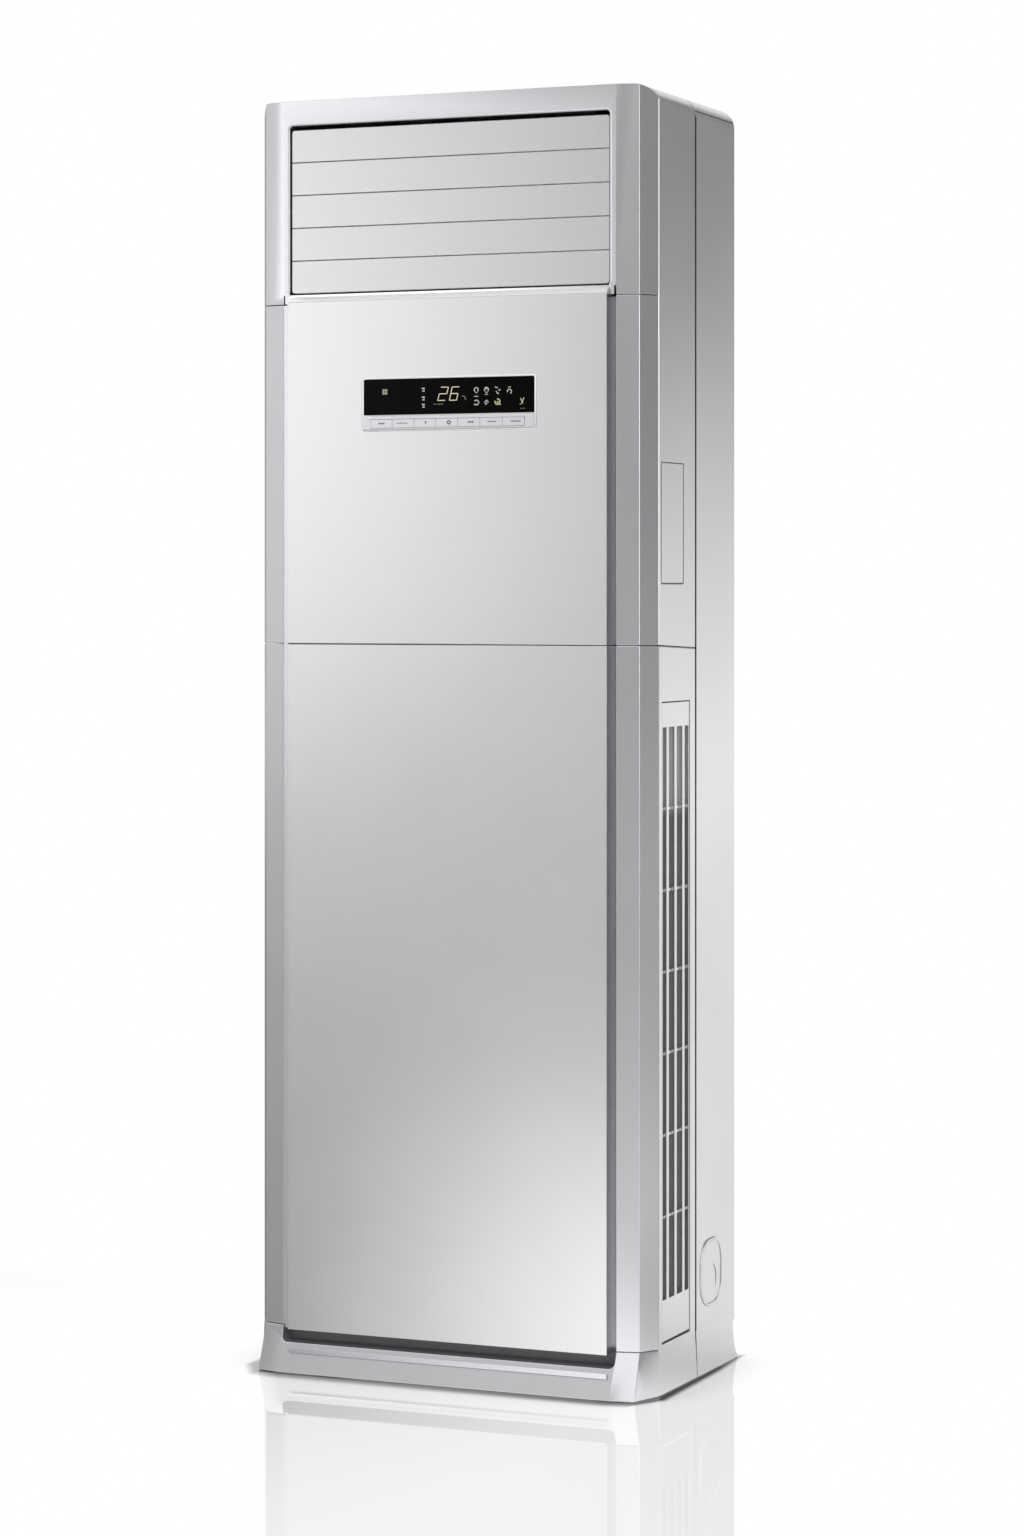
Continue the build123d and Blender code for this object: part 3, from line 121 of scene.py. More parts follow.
def lacquer(name, light, dark, metallic, roughness, flake=0.06, grain=0.02, ripple=0.04,
            stretch=(1, 1, 1), painted_shade_to=1.0):
    """Painted or moulded skin. Colour = mix(dark, light) by a slow noise, x a flake noise of about 0.4 mm.
    Roughness moves a little with the slow noise, and bump is the ripple noise of about 3 mm. From x = 0 to
    0.25 m the colour falls to the given share of itself (1 leaves it even): painted shade, darker to the
    right."""
    material, tree = new_material(name)
    place = object_place(tree, stretch)
    drift = add(tree, "TexNoise", inputs={"Scale": 3.0, "Detail": 3.0, "Roughness": 0.5})
    flakes = add(tree, "TexNoise", inputs={"Scale": 2200.0, "Detail": 1.0})
    peel = add(tree, "TexNoise", inputs={"Scale": 330.0, "Detail": 2.0})
    for noise in (drift, flakes, peel):
        join(tree, place, noise, 0, "Vector")
    tone = add(tree, "ValToRGB")
    tone.color_ramp.elements[0].position = 0.35
    tone.color_ramp.elements[0].color = (*dark, 1)
    tone.color_ramp.elements[1].position = 0.65
    tone.color_ramp.elements[1].color = (*light, 1)
    join(tree, drift, tone, "Fac", "Fac")
    spark = add(tree, "MapRange", inputs={
        "From Min": 0.3, "From Max": 0.7, "To Min": 1 - flake, "To Max": 1 + flake})
    join(tree, flakes, spark, "Fac", "Value")
    tint = add(tree, "VectorMath", operation="SCALE")
    split = add(tree, "SeparateXYZ")
    join(tree, place, split)
    # painted shade: the colour falls from x = 0 to x = 0.25 m
    painted_shade_ramp = add(tree, "MapRange", inputs={"From Min": 0.0, "From Max": 0.25, "To Min": 1.0, "To Max": painted_shade_to})
    join(tree, split, painted_shade_ramp, "X", "Value")
    level = add(tree, "Math", operation="MULTIPLY")
    join(tree, spark, level, 0, 0)
    join(tree, painted_shade_ramp, level, 0, 1)
    join(tree, tone, tint, "Color", 0)
    join(tree, level, tint, 0, "Scale")
    rough = add(tree, "MapRange", inputs={"To Min": roughness - grain, "To Max": roughness + grain})
    join(tree, drift, rough, "Fac", "Value")
    bump = add(tree, "Bump", inputs={"Strength": ripple, "Distance": 0.0005})
    join(tree, peel, bump, "Fac", "Height")
    skin = add(tree, "BsdfPrincipled", inputs={"Metallic": metallic})
    join(tree, tint, skin, 0, "Base Color")
    join(tree, rough, skin, 0, "Roughness")
    join(tree, bump, skin, 0, "Normal")
    output = add(tree, "OutputMaterial")
    join(tree, skin, output, 0, "Surface")
    return material


print("lacquer ready")

# %% [markdown]
# The casing's greys lie close together. The blades' pattern is stretched along their length. Two lacquers are
# whiter, a painted highlight on the display's rim and on the sill, and the sill's grows darker towards the
# right, a painted shade.

# %% Eight lacquers
silver_front = lacquer("silver_front", (0.62, 0.62, 0.64), (0.59, 0.59, 0.61), 0.90, 0.24)
silver_panel = lacquer("silver_panel", (0.64, 0.64, 0.65), (0.61, 0.61, 0.62), 0.90, 0.24)
silver_blade = lacquer("silver_blade", (0.57, 0.57, 0.58), (0.54, 0.54, 0.55), 0.90, 0.24,
                       stretch=(0.2, 1, 1))
silver_side = lacquer("silver_side", (0.62, 0.62, 0.62), (0.59, 0.59, 0.59), 0.90, 0.22, flake=0.03)
coated_steel = lacquer("coated_steel", (0.63, 0.63, 0.63), (0.60, 0.60, 0.60), 0.90, 0.24,
                       flake=0.02, ripple=0.08)
strip_silver = lacquer("strip_silver", (0.66, 0.66, 0.68), (0.62, 0.62, 0.64), 0.75, 0.28, flake=0.03)
# Whiter copies of the silver paint a highlight on the rim and the sill; the sill's fall to the right is
# painted shade.
highlight_tone_light, highlight_tone_dark = (0.93, 0.93, 0.94), (0.89, 0.89, 0.90)
rim_painted_highlight = lacquer("rim_painted_highlight", highlight_tone_light, highlight_tone_dark, 0.75, 0.28, flake=0.02)
sill_painted_highlight = lacquer("sill_painted_highlight", highlight_tone_light, highlight_tone_dark, 0.75, 0.28, flake=0.02, painted_shade_to=0.42)
print("eight lacquers made")

# %% [markdown]
# Inside, and behind the grilles, are plain materials: moulded dark plastic, zinc-coated sheet with its
# pale spangle, copper that has darkened in patches, rubber and foam. One recipe makes them all.

# %% Plain moulded and cast finishes


def plain(name, light, dark, metallic, roughness, scale, bump_scale, strength):
    """Colour and roughness from one noise of `scale` per metre, bump from a finer one of `bump_scale`."""
    material, tree = new_material(name)
    place = object_place(tree)
    patches = add(tree, "TexNoise", inputs={"Scale": scale, "Detail": 4.0})
    grain = add(tree, "TexNoise", inputs={"Scale": bump_scale, "Detail": 2.0})
    join(tree, place, patches, 0, "Vector")
    join(tree, place, grain, 0, "Vector")
    tone = add(tree, "Mix", data_type="RGBA")
    tone.inputs["A"].default_value = (*dark, 1)
    tone.inputs["B"].default_value = (*light, 1)
    join(tree, patches, tone, "Fac", "Factor")
    rough = add(tree, "MapRange", inputs={"To Min": roughness - 0.08, "To Max": roughness + 0.08})
    join(tree, patches, rough, "Fac", "Value")
    bump = add(tree, "Bump", inputs={"Strength": strength, "Distance": 0.0006})
    join(tree, grain, bump, "Fac", "Height")
    skin = add(tree, "BsdfPrincipled", inputs={"Metallic": metallic})
    join(tree, tone, skin, "Result", "Base Color")
    join(tree, rough, skin, 0, "Roughness")
    join(tree, bump, skin, 0, "Normal")
    output = add(tree, "OutputMaterial")
    join(tree, skin, output, 0, "Surface")
    return material


dark_plastic = plain("dark_plastic", (0.10, 0.10, 0.11), (0.07, 0.07, 0.08), 0.0, 0.5, 20, 900, 0.2)
motor_black = plain("motor_black", (0.05, 0.05, 0.055), (0.03, 0.03, 0.035), 0.3, 0.45, 40, 600, 0.15)
zinc_steel = plain("zinc_steel", (0.62, 0.63, 0.64), (0.44, 0.45, 0.47), 0.9, 0.38, 60, 300, 0.05)
rubber_pad = plain("rubber_pad", (0.03, 0.03, 0.03), (0.015, 0.015, 0.015), 0.0, 0.75, 50, 700, 0.3)
white_housing = plain("white_housing", (0.74, 0.74, 0.71), (0.68, 0.68, 0.65), 0.0, 0.5, 15, 800, 0.15)
coil_aluminium = plain("coil_aluminium", (0.66, 0.68, 0.70), (0.50, 0.52, 0.55), 0.95, 0.32, 80, 500, 0.1)
copper_tube = plain("copper_tube", (0.78, 0.42, 0.26), (0.52, 0.24, 0.13), 1.0, 0.30, 35, 400, 0.05)
foam_white = plain("foam_white", (0.84, 0.84, 0.82), (0.77, 0.77, 0.75), 0.0, 0.85, 30, 450, 0.5)
print("eight plain finishes made")

# %% [markdown]
# The display window is smoked acrylic over a black backing. It has almost no colour of its own, so what
# makes it read as a window is a weak but very smooth gloss on a nearly black body, with the faintest
# waviness of a moulded pane. The board behind it is green laminate, a plain finish again.

# %% Smoked window and board


def smoked_window():
    """Near-black body with a weak, smooth gloss; a broad noise of low strength bends its reflections."""
    material, tree = new_material("black_window")
    place = object_place(tree)
    waves = add(tree, "TexNoise", inputs={"Scale": 30.0, "Detail": 1.0})
    join(tree, place, waves, 0, "Vector")
    tone = add(tree, "MapRange", inputs={"To Min": 0.001, "To Max": 0.003})
    join(tree, waves, tone, "Fac", "Value")
    rough = add(tree, "MapRange", inputs={"To Min": 0.06, "To Max": 0.12})
    join(tree, waves, rough, "Fac", "Value")
    bump = add(tree, "Bump", inputs={"Strength": 0.02, "Distance": 0.001})
    join(tree, waves, bump, "Fac", "Height")
    skin = add(tree, "BsdfPrincipled", inputs={"Specular IOR Level": 0.06, "IOR": 1.3})
    join(tree, tone, skin, 0, "Base Color")
    join(tree, rough, skin, 0, "Roughness")
    join(tree, bump, skin, 0, "Normal")
    output = add(tree, "OutputMaterial")
    join(tree, skin, output, 0, "Surface")
    return material


black_window = smoked_window()
circuit_board = plain("circuit_board", (0.03, 0.16, 0.06), (0.02, 0.09, 0.04), 0.0, 0.35, 160, 400, 0.4)
print("window and board made")

# %% [markdown]
# Behind each grille sits a removable filter: a ribbed frame with a dark woven net. Over the coil chamber
# the net is backed by pale foam and looks lighter, over the blower chamber it is dark. The weave is two
# crossed waves, and a step in height changes its shade where the inner shelf divides the two chambers.

# %% Filter net


def filter_net():
    """Weave = the higher of two sine waves 1.6 mm apart along Y and Z. Shade = dark below the shelf, pale
    above it."""
    material, tree = new_material("filter_net")
    place = object_place(tree)
    split = add(tree, "SeparateXYZ")
    join(tree, place, split)
    crossed = []
    for axis in ("Y", "Z"):
        turned = add(tree, "Math", operation="MULTIPLY")
        turned.inputs[1].default_value = 2 * math.pi / 0.0016
        join(tree, split, turned, axis, 0)
        wave = add(tree, "Math", operation="SINE")
        join(tree, turned, wave)
        crossed.append(wave)
    weave = add(tree, "Math", operation="MAXIMUM")
    join(tree, crossed[0], weave, 0, 0)
    join(tree, crossed[1], weave, 0, 1)
    shade = add(tree, "MapRange", inputs={
        "From Min": 0.815, "From Max": 0.83, "To Min": 0.16, "To Max": 0.60})
    join(tree, split, shade, "Z", "Value")
    thread = add(tree, "MapRange", inputs={"From Min": -1.0, "From Max": 1.0, "To Min": 0.6, "To Max": 1.1})
    join(tree, weave, thread, 0, "Value")
    tone = add(tree, "Math", operation="MULTIPLY")
    join(tree, shade, tone, 0, 0)
    join(tree, thread, tone, 0, 1)
    bump = add(tree, "Bump", inputs={"Strength": 0.4, "Distance": 0.0003})
    join(tree, weave, bump, 0, "Height")
    rough = add(tree, "MapRange", inputs={"From Min": -1.0, "From Max": 1.0, "To Min": 0.75, "To Max": 0.5})
    join(tree, weave, rough, 0, "Value")
    skin = add(tree, "BsdfPrincipled")
    join(tree, tone, skin, 0, "Base Color")
    join(tree, rough, skin, 0, "Roughness")
    join(tree, bump, skin, 0, "Normal")
    output = add(tree, "OutputMaterial")
    join(tree, skin, output, 0, "Surface")
    return material


net = filter_net()
print("filter net made")

# %% [markdown]
# Each solid now gets the finish its record names. The record lists a material slot per solid, so one table
# from slot to material dresses all of them at once, also those hidden inside the casing.

# %% Dress every solid
finish_of_slot = {
    "silver_front": silver_front,
    "silver_panel": silver_panel,
    "silver_blade": silver_blade,
    "silver_side": silver_side,
    "coated_steel": coated_steel,
    "strip_silver": strip_silver,
    "black_window": black_window,
    "circuit_board": circuit_board,
    "dark_plastic": dark_plastic,
    "motor_black": motor_black,
    "filter_net": net,
    "zinc_steel": zinc_steel,
    "rubber_pad": rubber_pad,
    "white_housing": white_housing,
    "coil_aluminium": coil_aluminium,
    "copper_tube": copper_tube,
    "foam_white": foam_white,
}
for entry in frame["record"]["subparts"]:
    solid = nodes[entry["node"]]
    solid.data.materials.clear()
    solid.data.materials.append(finish_of_slot[entry["material_slot"]])

# %% [markdown]
# No moulded or folded part has a knife edge. Its corners are rounded, here by 0.1 mm on a thin blade and up
# to 1.4 mm on a bent panel, and that small round catches the light as the thin bright lines along this
# cabinet's creases. The solids have sharp edges, so modifiers round them: Weld joins the loose triangles,
# Decimate turns each flat into one face, Bevel rounds what is left, and Weighted Normal keeps flats flat.

# %% Tool that rounds edges


def soften(name, width):
    """Edges sharper than 20 degrees get a round of `width` metres."""
    solid = nodes[name]
    solid.data.polygons.foreach_set("use_smooth", np.ones(len(solid.data.polygons), bool))
    weld = solid.modifiers.new("weld", "WELD")
    weld.merge_threshold = 0.000005
    flats = solid.modifiers.new("flats", "DECIMATE")
    flats.decimate_type = "DISSOLVE"
    flats.angle_limit = math.radians(0.5)
    bevel = solid.modifiers.new("round", "BEVEL")
    bevel.width = width
    bevel.segments = 2
    bevel.limit_method = "ANGLE"
    bevel.angle_limit = math.radians(20)
    bevel.use_clamp_overlap = False
    bevel.harden_normals = True
    normals = solid.modifiers.new("normals", "WEIGHTED_NORMAL")
    normals.keep_sharp = False
    normals.weight = 60


print("rounding ready")

# %% [markdown]
# The bent side panels have the widest rounds, the mouldings of the front narrower ones, and the window, the
# keys and the blades the narrowest.

# %% Round the edges
rounds = {
    "front_housing_lower": 0.0009,
    "front_housing_upper": 0.0009,
    "front_panel_lower": 0.0010,
    "front_panel_upper": 0.0010,
    "base_skirt": 0.0010,
    "front_frame": 0.0006,
    "key_strip": 0.0004,
    "side_panel_lower_right": 0.0014,
    "side_panel_lower_left": 0.0014,
    "side_panel_upper_right": 0.0014,
    "side_panel_upper_left": 0.0014,
    "handle_covers": 0.0005,
    "intake_grille_right": 0.0005,
    "intake_grille_left": 0.0005,
    "rear_side_right": 0.0004,
    "rear_side_left": 0.0004,
    "pipe_port_covers": 0.0009,
    "top_cover": 0.0006,
    "rear_top_cap": 0.0006,
    "display_window": 0.0002,
}
for number in range(1, 6):
    rounds["louver_blade_%d" % number] = 0.00012
for number in range(1, 8):
    rounds["key_%d" % number] = 0.0002
for name, width in rounds.items():
    soften(name, width)
print("rounded", len(rounds), "solids")

# %% [markdown]
# Small things lie on the solids: rolled rims, a soft ridge, sills in the gaps, painted shade as dark linings
# in the recess and dark strips in the seams, lit signs behind the window and printed marks on the keys. Their
# outlines are computed in millimetres as arrays of points. Most of them are prisms: a plane ring of points,
# joined to the same ring a little further on. The first tools lay a ring in its plane, make a prism and join
# several into one mesh.

# %% Tools for prisms
MM = 0.001


def new_piece(name, points, faces, material, slot, body="cabinet"):
    """A mesh from points in millimetres, dressed and joined to a body; its slot is not used."""
    mesh = bpy.data.meshes.new(name)
    mesh.from_pydata((np.asarray(points) * MM).tolist(), [], [np.asarray(face).tolist() for face in faces])
    mesh.materials.append(material)
    piece = bpy.data.objects.new(name, mesh)
    bpy.context.scene.collection.objects.link(piece)
    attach(piece, body)
    return piece


def laid(ring, axis, value):
    """A plane ring put into space: `value` becomes coordinate number `axis` of every point."""
    return np.insert(np.asarray(ring, float), axis, value, axis=1)


def prism(near, far):
    """The closed solid between two rings: side k is near_k, far_k, far_k+1, near_k+1. Seen from outside,
    `near` runs counterclockwise, and that turns every face outwards."""
    k = np.arange(len(near))
    after = np.roll(k, -1)
    sides = np.column_stack([k, k + len(k), after + len(k), after])
    return np.vstack([near, far]), [k, k[::-1] + len(k), *sides]


def joined(solids):
    """Several solids as one: a solid's face indices are raised by the number of points before it."""
    points, faces, first = [], [], 0
    for more, polygons in solids:
        points.append(more)
        faces += [polygon + first for polygon in polygons]
        first += len(more)
    return np.vstack(points), faces


print("prism tools ready")

# %% [markdown]
# A sign is a handful of strokes in the x, z plane, each of them a thin flat prism: a straight bar, a round
# dot or a bent band. A lit digit is up to seven bars that lean together, as on a clock.

# %% Tools for signs


def oval(x, z, half_wide, half_high, count=14):
    """P(t) = (x + half_wide cos t, z + half_high sin t), counterclockwise."""
    turns = np.linspace(0, 2 * math.pi, count, endpoint=False)
    return np.column_stack([x + half_wide * np.cos(turns), z + half_high * np.sin(turns)])


def disc(x, z, radius):
    """A round dot."""
    return oval(x, z, radius, radius)


def bar(x0, z0, x1, z1, width):
    """A straight stroke: four corners round the line from (x0, z0) to (x1, z1)."""
    along = np.array([x1 - x0, z1 - z0], float)
    side = np.array([-along[1], along[0]]) / np.linalg.norm(along) * width / 2
    start, end = np.array([x0, z0]), np.array([x1, z1])
    return [start - side, end - side, end + side, start + side]


def arc(x, z, radius, width, start, end, count=10):
    """A bent band: P(t) = (x, z) + (radius + width / 2) (cos t, sin t) out, and with - width / 2 back, for t
    from start to end in degrees."""
    turns = np.radians(np.linspace(start, end, count))
    way = np.column_stack([np.cos(turns), np.sin(turns)])
    outer = way * (radius + width / 2) + (x, z)
    inner = way * (radius - width / 2) + (x, z)
    return np.vstack([outer, inner[::-1]])


def digit(lit_bars, x, z, width, height, slant, stroke):
    """Up to seven bars, each named by a letter. Points lean to the right by slant x (z / height)."""
    middle = height / 2
    ends = {
        "a": (0, height, width, height), "b": (width, height, width, middle), "c": (width, middle, width, 0),
        "d": (0, 0, width, 0), "e": (0, 0, 0, middle), "f": (0, middle, 0, height),
        "g": (0, middle, width, middle),
    }
    strokes = []
    for letter in lit_bars:
        x0, z0, x1, z1 = ends[letter]
        lean0, lean1 = slant * z0 / height, slant * z1 / height
        strokes.append(bar(x + x0 + lean0, z + z0, x + x1 + lean1, z + z1, stroke))
    return strokes


def signs(name, outlines, y, material, slot, body="cabinet", thick=0.06):
    """One piece of flat signs: each outline in x, z becomes a prism from depth y back to y + thick."""
    solids = [prism(laid(outline, 1, y), laid(outline, 1, y + thick)) for outline in outlines]
    return new_piece(name, *joined(solids), material, slot, body)


print("sign tools ready")

# %% [markdown]
# Beads, ridges and rims are one small section carried along a path in the x, z plane, as if pulled through
# a die. A closed path needs no end caps. Smooth shading makes the section look round, but the edge round a
# flat end cap has to stay sharp, or the shading bends over it.

# %% Tools for swept pieces


def swept(name, path, section, material, slot, loop=False):
    """P(i, j) = path_i + n_i s_j + (0, t_j, 0): a closed section of points (s, t) carried along a path in the
    x, z plane, where n_i is the path's normal to its left at point i. A loop runs back to its first point and
    has no end caps. The section runs counterclockwise in s, t, and that turns every face outwards."""
    path, section = np.asarray(path, float), np.asarray(section, float)
    way = np.roll(path, -1, 0) - np.roll(path, 1, 0) if loop else np.gradient(path, axis=0)
    way /= np.linalg.norm(way, axis=1)[:, None]
    normal = np.column_stack([-way[:, 1], way[:, 0]])
    rows, columns = len(path), len(section)
    points = np.zeros((rows, columns, 3))
    points[:, :, 0] = path[:, None, 0] + normal[:, None, 0] * section[None, :, 0]
    points[:, :, 1] = section[None, :, 1]
    points[:, :, 2] = path[:, None, 1] + normal[:, None, 1] * section[None, :, 0]
    index = np.arange(rows * columns).reshape(rows, columns)
    here, after = (index, np.roll(index, -1, 0)) if loop else (index[:-1], index[1:])
    sides = np.stack([here, after, np.roll(after, -1, 1), np.roll(here, -1, 1)], axis=-1).reshape(-1, 4)
    caps = [] if loop else [index[0], index[-1, ::-1]]
    return new_piece(name, points.reshape(-1, 3), [*sides, *caps], material, slot)


def smooth_sides(piece):
    """Smooth shading along a swept piece, with sharp edges where its end caps meet its sides."""
    piece.data.polygons.foreach_set("use_smooth", np.ones(len(piece.data.polygons), bool))
    piece.data.set_sharp_from_angle(angle=math.radians(60))


def round_corner(x, z, radius, start, end, count=8):
    """P(t) = (x + radius cos t, z + radius sin t), for t from start to end in degrees."""
    turns = np.radians(np.linspace(start, end, count))
    return np.column_stack([x + radius * np.cos(turns), z + radius * np.sin(turns)])


print("sweeping tools ready")

# %% [markdown]
# The bead is the rolled edge of the outlet frame: a rod about 3 mm thick, more than half of it sunk into the
# frame, that runs up the left side, along the top and down to the tab at the right.

# %% Outlet bead
flat_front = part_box("front_panel_upper")[0][1] / MM
frame_front = flat_front + 9.8  # the outlet frame's face lies behind the slab's
outlet_half, outlet_low, outlet_high, outlet_turn = 251.5, 1555.5, 1816.0, 6.0
bead_radius, bead_out, bead_sunk = 1.7, 1.2, 1.0
bead_path = np.vstack([
    [(outlet_half, outlet_low + 18), (outlet_half, outlet_low + 60)],
    round_corner(outlet_half - outlet_turn, outlet_high - outlet_turn, outlet_turn, 0, 90),
    round_corner(-outlet_half + outlet_turn, outlet_high - outlet_turn, outlet_turn, 90, 180),
    [(-outlet_half, outlet_low + 60), (-outlet_half, outlet_low)],
])
bead_section = oval(-bead_out, frame_front + bead_sunk, bead_radius, bead_radius)
bead = swept("outlet_bead", bead_path, bead_section, strip_silver, "silver_front")
smooth_sides(bead)
print("bead of", len(bead_path), "steps")

# %% [markdown]
# The toe recess's lower corners are rounded. Its darkness is painted shade: a thin dark grey tray follows the
# corners, and a dark grey wall closes the recess behind.

# %% Recess lining of painted shade
recess_half, recess_low, recess_high, recess_turn = 260.2, 43.3, 65.0, 8.7
recess_path = np.vstack([
    [(-recess_half, recess_high)],
    round_corner(-recess_half + recess_turn, recess_low + recess_turn, recess_turn, 180, 270),
    round_corner(recess_half - recess_turn, recess_low + recess_turn, recess_turn, 270, 360),
    [(recess_half, recess_high)],
])
tray_thick, tray_front, tray_back = 0.35, flat_front + 7.0, flat_front + 32.7
tray = [(0.0, tray_front), (tray_thick, tray_front), (tray_thick, tray_back), (0.0, tray_back)]
# dark grey standing in for the shade inside the recess: painted shade
recess_painted_shade = plain("recess_painted_shade", (0.16, 0.16, 0.17), (0.12, 0.12, 0.13), 0.0, 0.5, 20, 900, 0.2)
swept("recess_shade_lining", recess_path, tray, recess_painted_shade, "dark_plastic")
signs("recess_shade_wall", [recess_path], flat_front + 32.0, recess_painted_shade, "dark_plastic", thick=0.6)
print("lining of", len(recess_path), "steps")

# %% [markdown]
# A silver trim fills the shadow gap at the slab's left side. It has two lengths, and the short lower one,
# which reaches down to the recess, is a little narrower.

# %% Groove trim
trim_inner, trim_front, trim_back = -253.4, -161.9, -158.0
trims = []
for trim_outer, z_low, z_high in ((-260.3, 68.0, 1554.0), (-259.6, 62.0, 67.9)):
    ring = [(trim_outer, trim_front), (trim_inner, trim_front),
            (trim_inner, trim_back), (trim_outer, trim_back)]
    trims.append(prism(laid(ring, 2, z_high), laid(ring, 2, z_low)))
new_piece("groove_trim", *joined(trims), silver_front, "silver_front")
print("trim in", len(trims), "lengths")

# %% [markdown]
# Just below the recess a soft ridge runs along the foot. It rises less than a tenth of a millimetre out of
# the sloping face, because a flatter rise makes a softer highlight. Under the outlet a sill slopes forward
# down to the slab; its whiteness is a painted highlight, and its darkening to the right is painted shade.

# %% Foot ridge and sill
foot_top, foot_bottom, foot_front = 66.0, 1.0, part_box("base_skirt")[0][1] / MM
ridge_z, ridge_half_high, ridge_rise = 33.5, 3.8, 0.09
ridge_y = flat_front + (foot_front - flat_front) * (foot_top - ridge_z) / (foot_top - foot_bottom)
ridge_x = np.linspace(-246, 252, 24)
ridge_path = np.column_stack([ridge_x, np.full(len(ridge_x), ridge_z)])
ridge_section = oval(0.0, ridge_y, ridge_half_high, ridge_rise, count=16)
ridge = swept("foot_ridge", ridge_path, ridge_section, silver_front, "silver_front")
smooth_sides(ridge)

sill_half, sill_low, sill_high, sill_back = 251.0, 1556.0, 1568.6, frame_front + 0.8
sill = [(flat_front + 0.4, sill_low), (frame_front, sill_high), (sill_back, sill_high), (sill_back, sill_low)]
sill_solid = prism(laid(sill, 0, -sill_half), laid(sill, 0, sill_half))
# white lacquer: painted highlight; its darkening to the right: painted shade
new_piece("outlet_sill", *sill_solid, sill_painted_highlight, "silver_front")
print("ridge at y", round(ridge_y, 1), "sill", round(sill_high - sill_low, 1), "mm high")

# %% [markdown]
# Each port cover has a curved finger slit, drawn as painted shade: a narrow dark band in the y, z plane, laid
# on the cover's face, that bends forward towards its ends, strongly at the top and slightly at the bottom.

# %% Port slits
# For u from -1 to 1: z = 137 + 17.5 u and y = 104, less 13 ((u + 0.25) / 1.25)^2 above u = -0.25, less
# 2 ((-0.25 - u) / 0.75)^2 below it. The band's half width is 1.7 sqrt(1.04 - u^2).
u = np.linspace(-1, 1, 11)
slit_y = 104.0 - 13.0 * ((u + 0.25).clip(0) / 1.25) ** 2 - 2.0 * ((-0.25 - u).clip(0) / 0.75) ** 2
slit_z = 137.0 + 17.5 * u
slit_half = 1.7 * np.sqrt(1.04 - u**2)
slit_rim = np.column_stack([
    np.r_[slit_y + slit_half, (slit_y - slit_half)[::-1]],
    np.r_[slit_z, slit_z[::-1]],
])
cover_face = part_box("pipe_port_covers")[1][0] / MM - 1.0
slit_proud, slit_thick = 0.06, 0.5
# the dark band is painted shade standing in for the slit's hollow
for side, name in ((1, "port_slit_shade_right"), (-1, "port_slit_shade_left")):
    rim = slit_rim[::side]
    outer = laid(rim, 0, side * (cover_face + slit_proud))
    new_piece(name, *prism(outer, outer - (side * slit_thick, 0, 0)), dark_plastic, "dark_plastic")
print("slits on the covers at x", round(cover_face, 1))

# %% [markdown]
# Joints between sheets look darker than a plain gap, from the shade in their step. That shade is painted
# here:
# each joint gets a row of thin dark blocks on the side wall, in the groove beside the rear casing and along
# the cap's joint, whose height on the round shoulder gives its x. The same blocks paint the shade of the line
# round the handle cover.

# %% Blocks on the side wall
side_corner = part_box("side_panel_upper_right")[1]
wall_x, seam_back, corner_back = side_corner[0] / MM, side_corner[1] / MM, -124.6
wall_lean = 1.5


def block(low, high, side):
    """A box on the side wall between two corners (d, y, z): P = (side (wall(y) + d), y, z). The wall widens
    evenly to the rear, wall(y) = wall_x - wall_lean max(0, (seam_back - y) / (seam_back - corner_back))."""
    d = np.array([low[0], high[0], high[0], low[0]])
    y = np.array([low[1], low[1], high[1], high[1]])
    wall = wall_x - wall_lean * np.clip((seam_back - y) / (seam_back - corner_back), 0.0, None)
    ring = np.column_stack([side * (wall + d), y])[::side]
    return prism(laid(ring, 2, high[2]), laid(ring, 2, low[2]))


print("wall at x", round(wall_x - wall_lean, 1), "to", round(wall_x, 1))

# %% [markdown]
# The corners below are given as distance from the wall, y and z. The seam's strip of painted shade lies 2.3
# mm deep in the groove, and a second strip at its rear side comes up to the surface.

# %% Painted shade in the seams and round the cover
# Near-black colours of painted shade: for the seams and for the line round the handle cover.
painted_shade_strip = plain("painted_shade_strip", (0.035, 0.035, 0.04), (0.02, 0.02, 0.025), 0.0, 0.6, 60, 900, 0.1)
cover_joint_shade = plain("cover_joint_shade", (0.12, 0.12, 0.12), (0.08, 0.08, 0.08), 0.0, 0.6, 60, 900, 0.1)
rear_end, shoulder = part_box("rear_side_right")[1][1] / MM, 28.0
cap_joint, cap_top = (corner[2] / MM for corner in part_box("rear_top_cap"))
cap_rise = cap_joint - (cap_top - shoulder)
cap_in = math.sqrt(shoulder**2 - cap_rise**2) - shoulder
seam_boxes = [
    ((-2.58, seam_back, 67), (-2.3, seam_back + 3.4, 1828)),
    ((-2.5, seam_back + 3.2, 67), (0.04, seam_back + 5.0, 1824)),
    ((cap_in - 0.5, seam_back + 3.2, cap_joint - 1.0), (cap_in + 0.12, rear_end - 1.0, cap_joint + 0.6)),
]
cover_front, cover_back, cover_low, cover_high = flat_front + 56.0, flat_front + 143.0, 1148.0, 1320.0
inside, outside = -0.3, 0.05
line_boxes = [
    ((inside, cover_front - 0.3, cover_low), (outside, cover_front + 1.0, cover_high)),
    ((inside, cover_back - 1.8, cover_low), (outside, cover_back + 1.2, cover_high)),
    ((inside, cover_front, cover_high - 1.1), (outside, cover_back, cover_high + 0.4)),
    ((inside, cover_front, cover_low - 0.4), (outside, cover_back, cover_low + 1.1)),
]
for side, name in ((1, "right"), (-1, "left")):
    seam = joined([block(low, high, side) for low, high in seam_boxes])
    new_piece("seam_painted_shade_strip_" + name, *seam, painted_shade_strip, "rubber_pad")
    line = joined([block(low, high, side) for low, high in line_boxes])
    new_piece("cover_joint_shade_" + name, *line, cover_joint_shade, "rubber_pad")
print("painted_shade_strips at y", round(seam_back, 1), "cap joint", round(cap_in, 1), "mm inward")
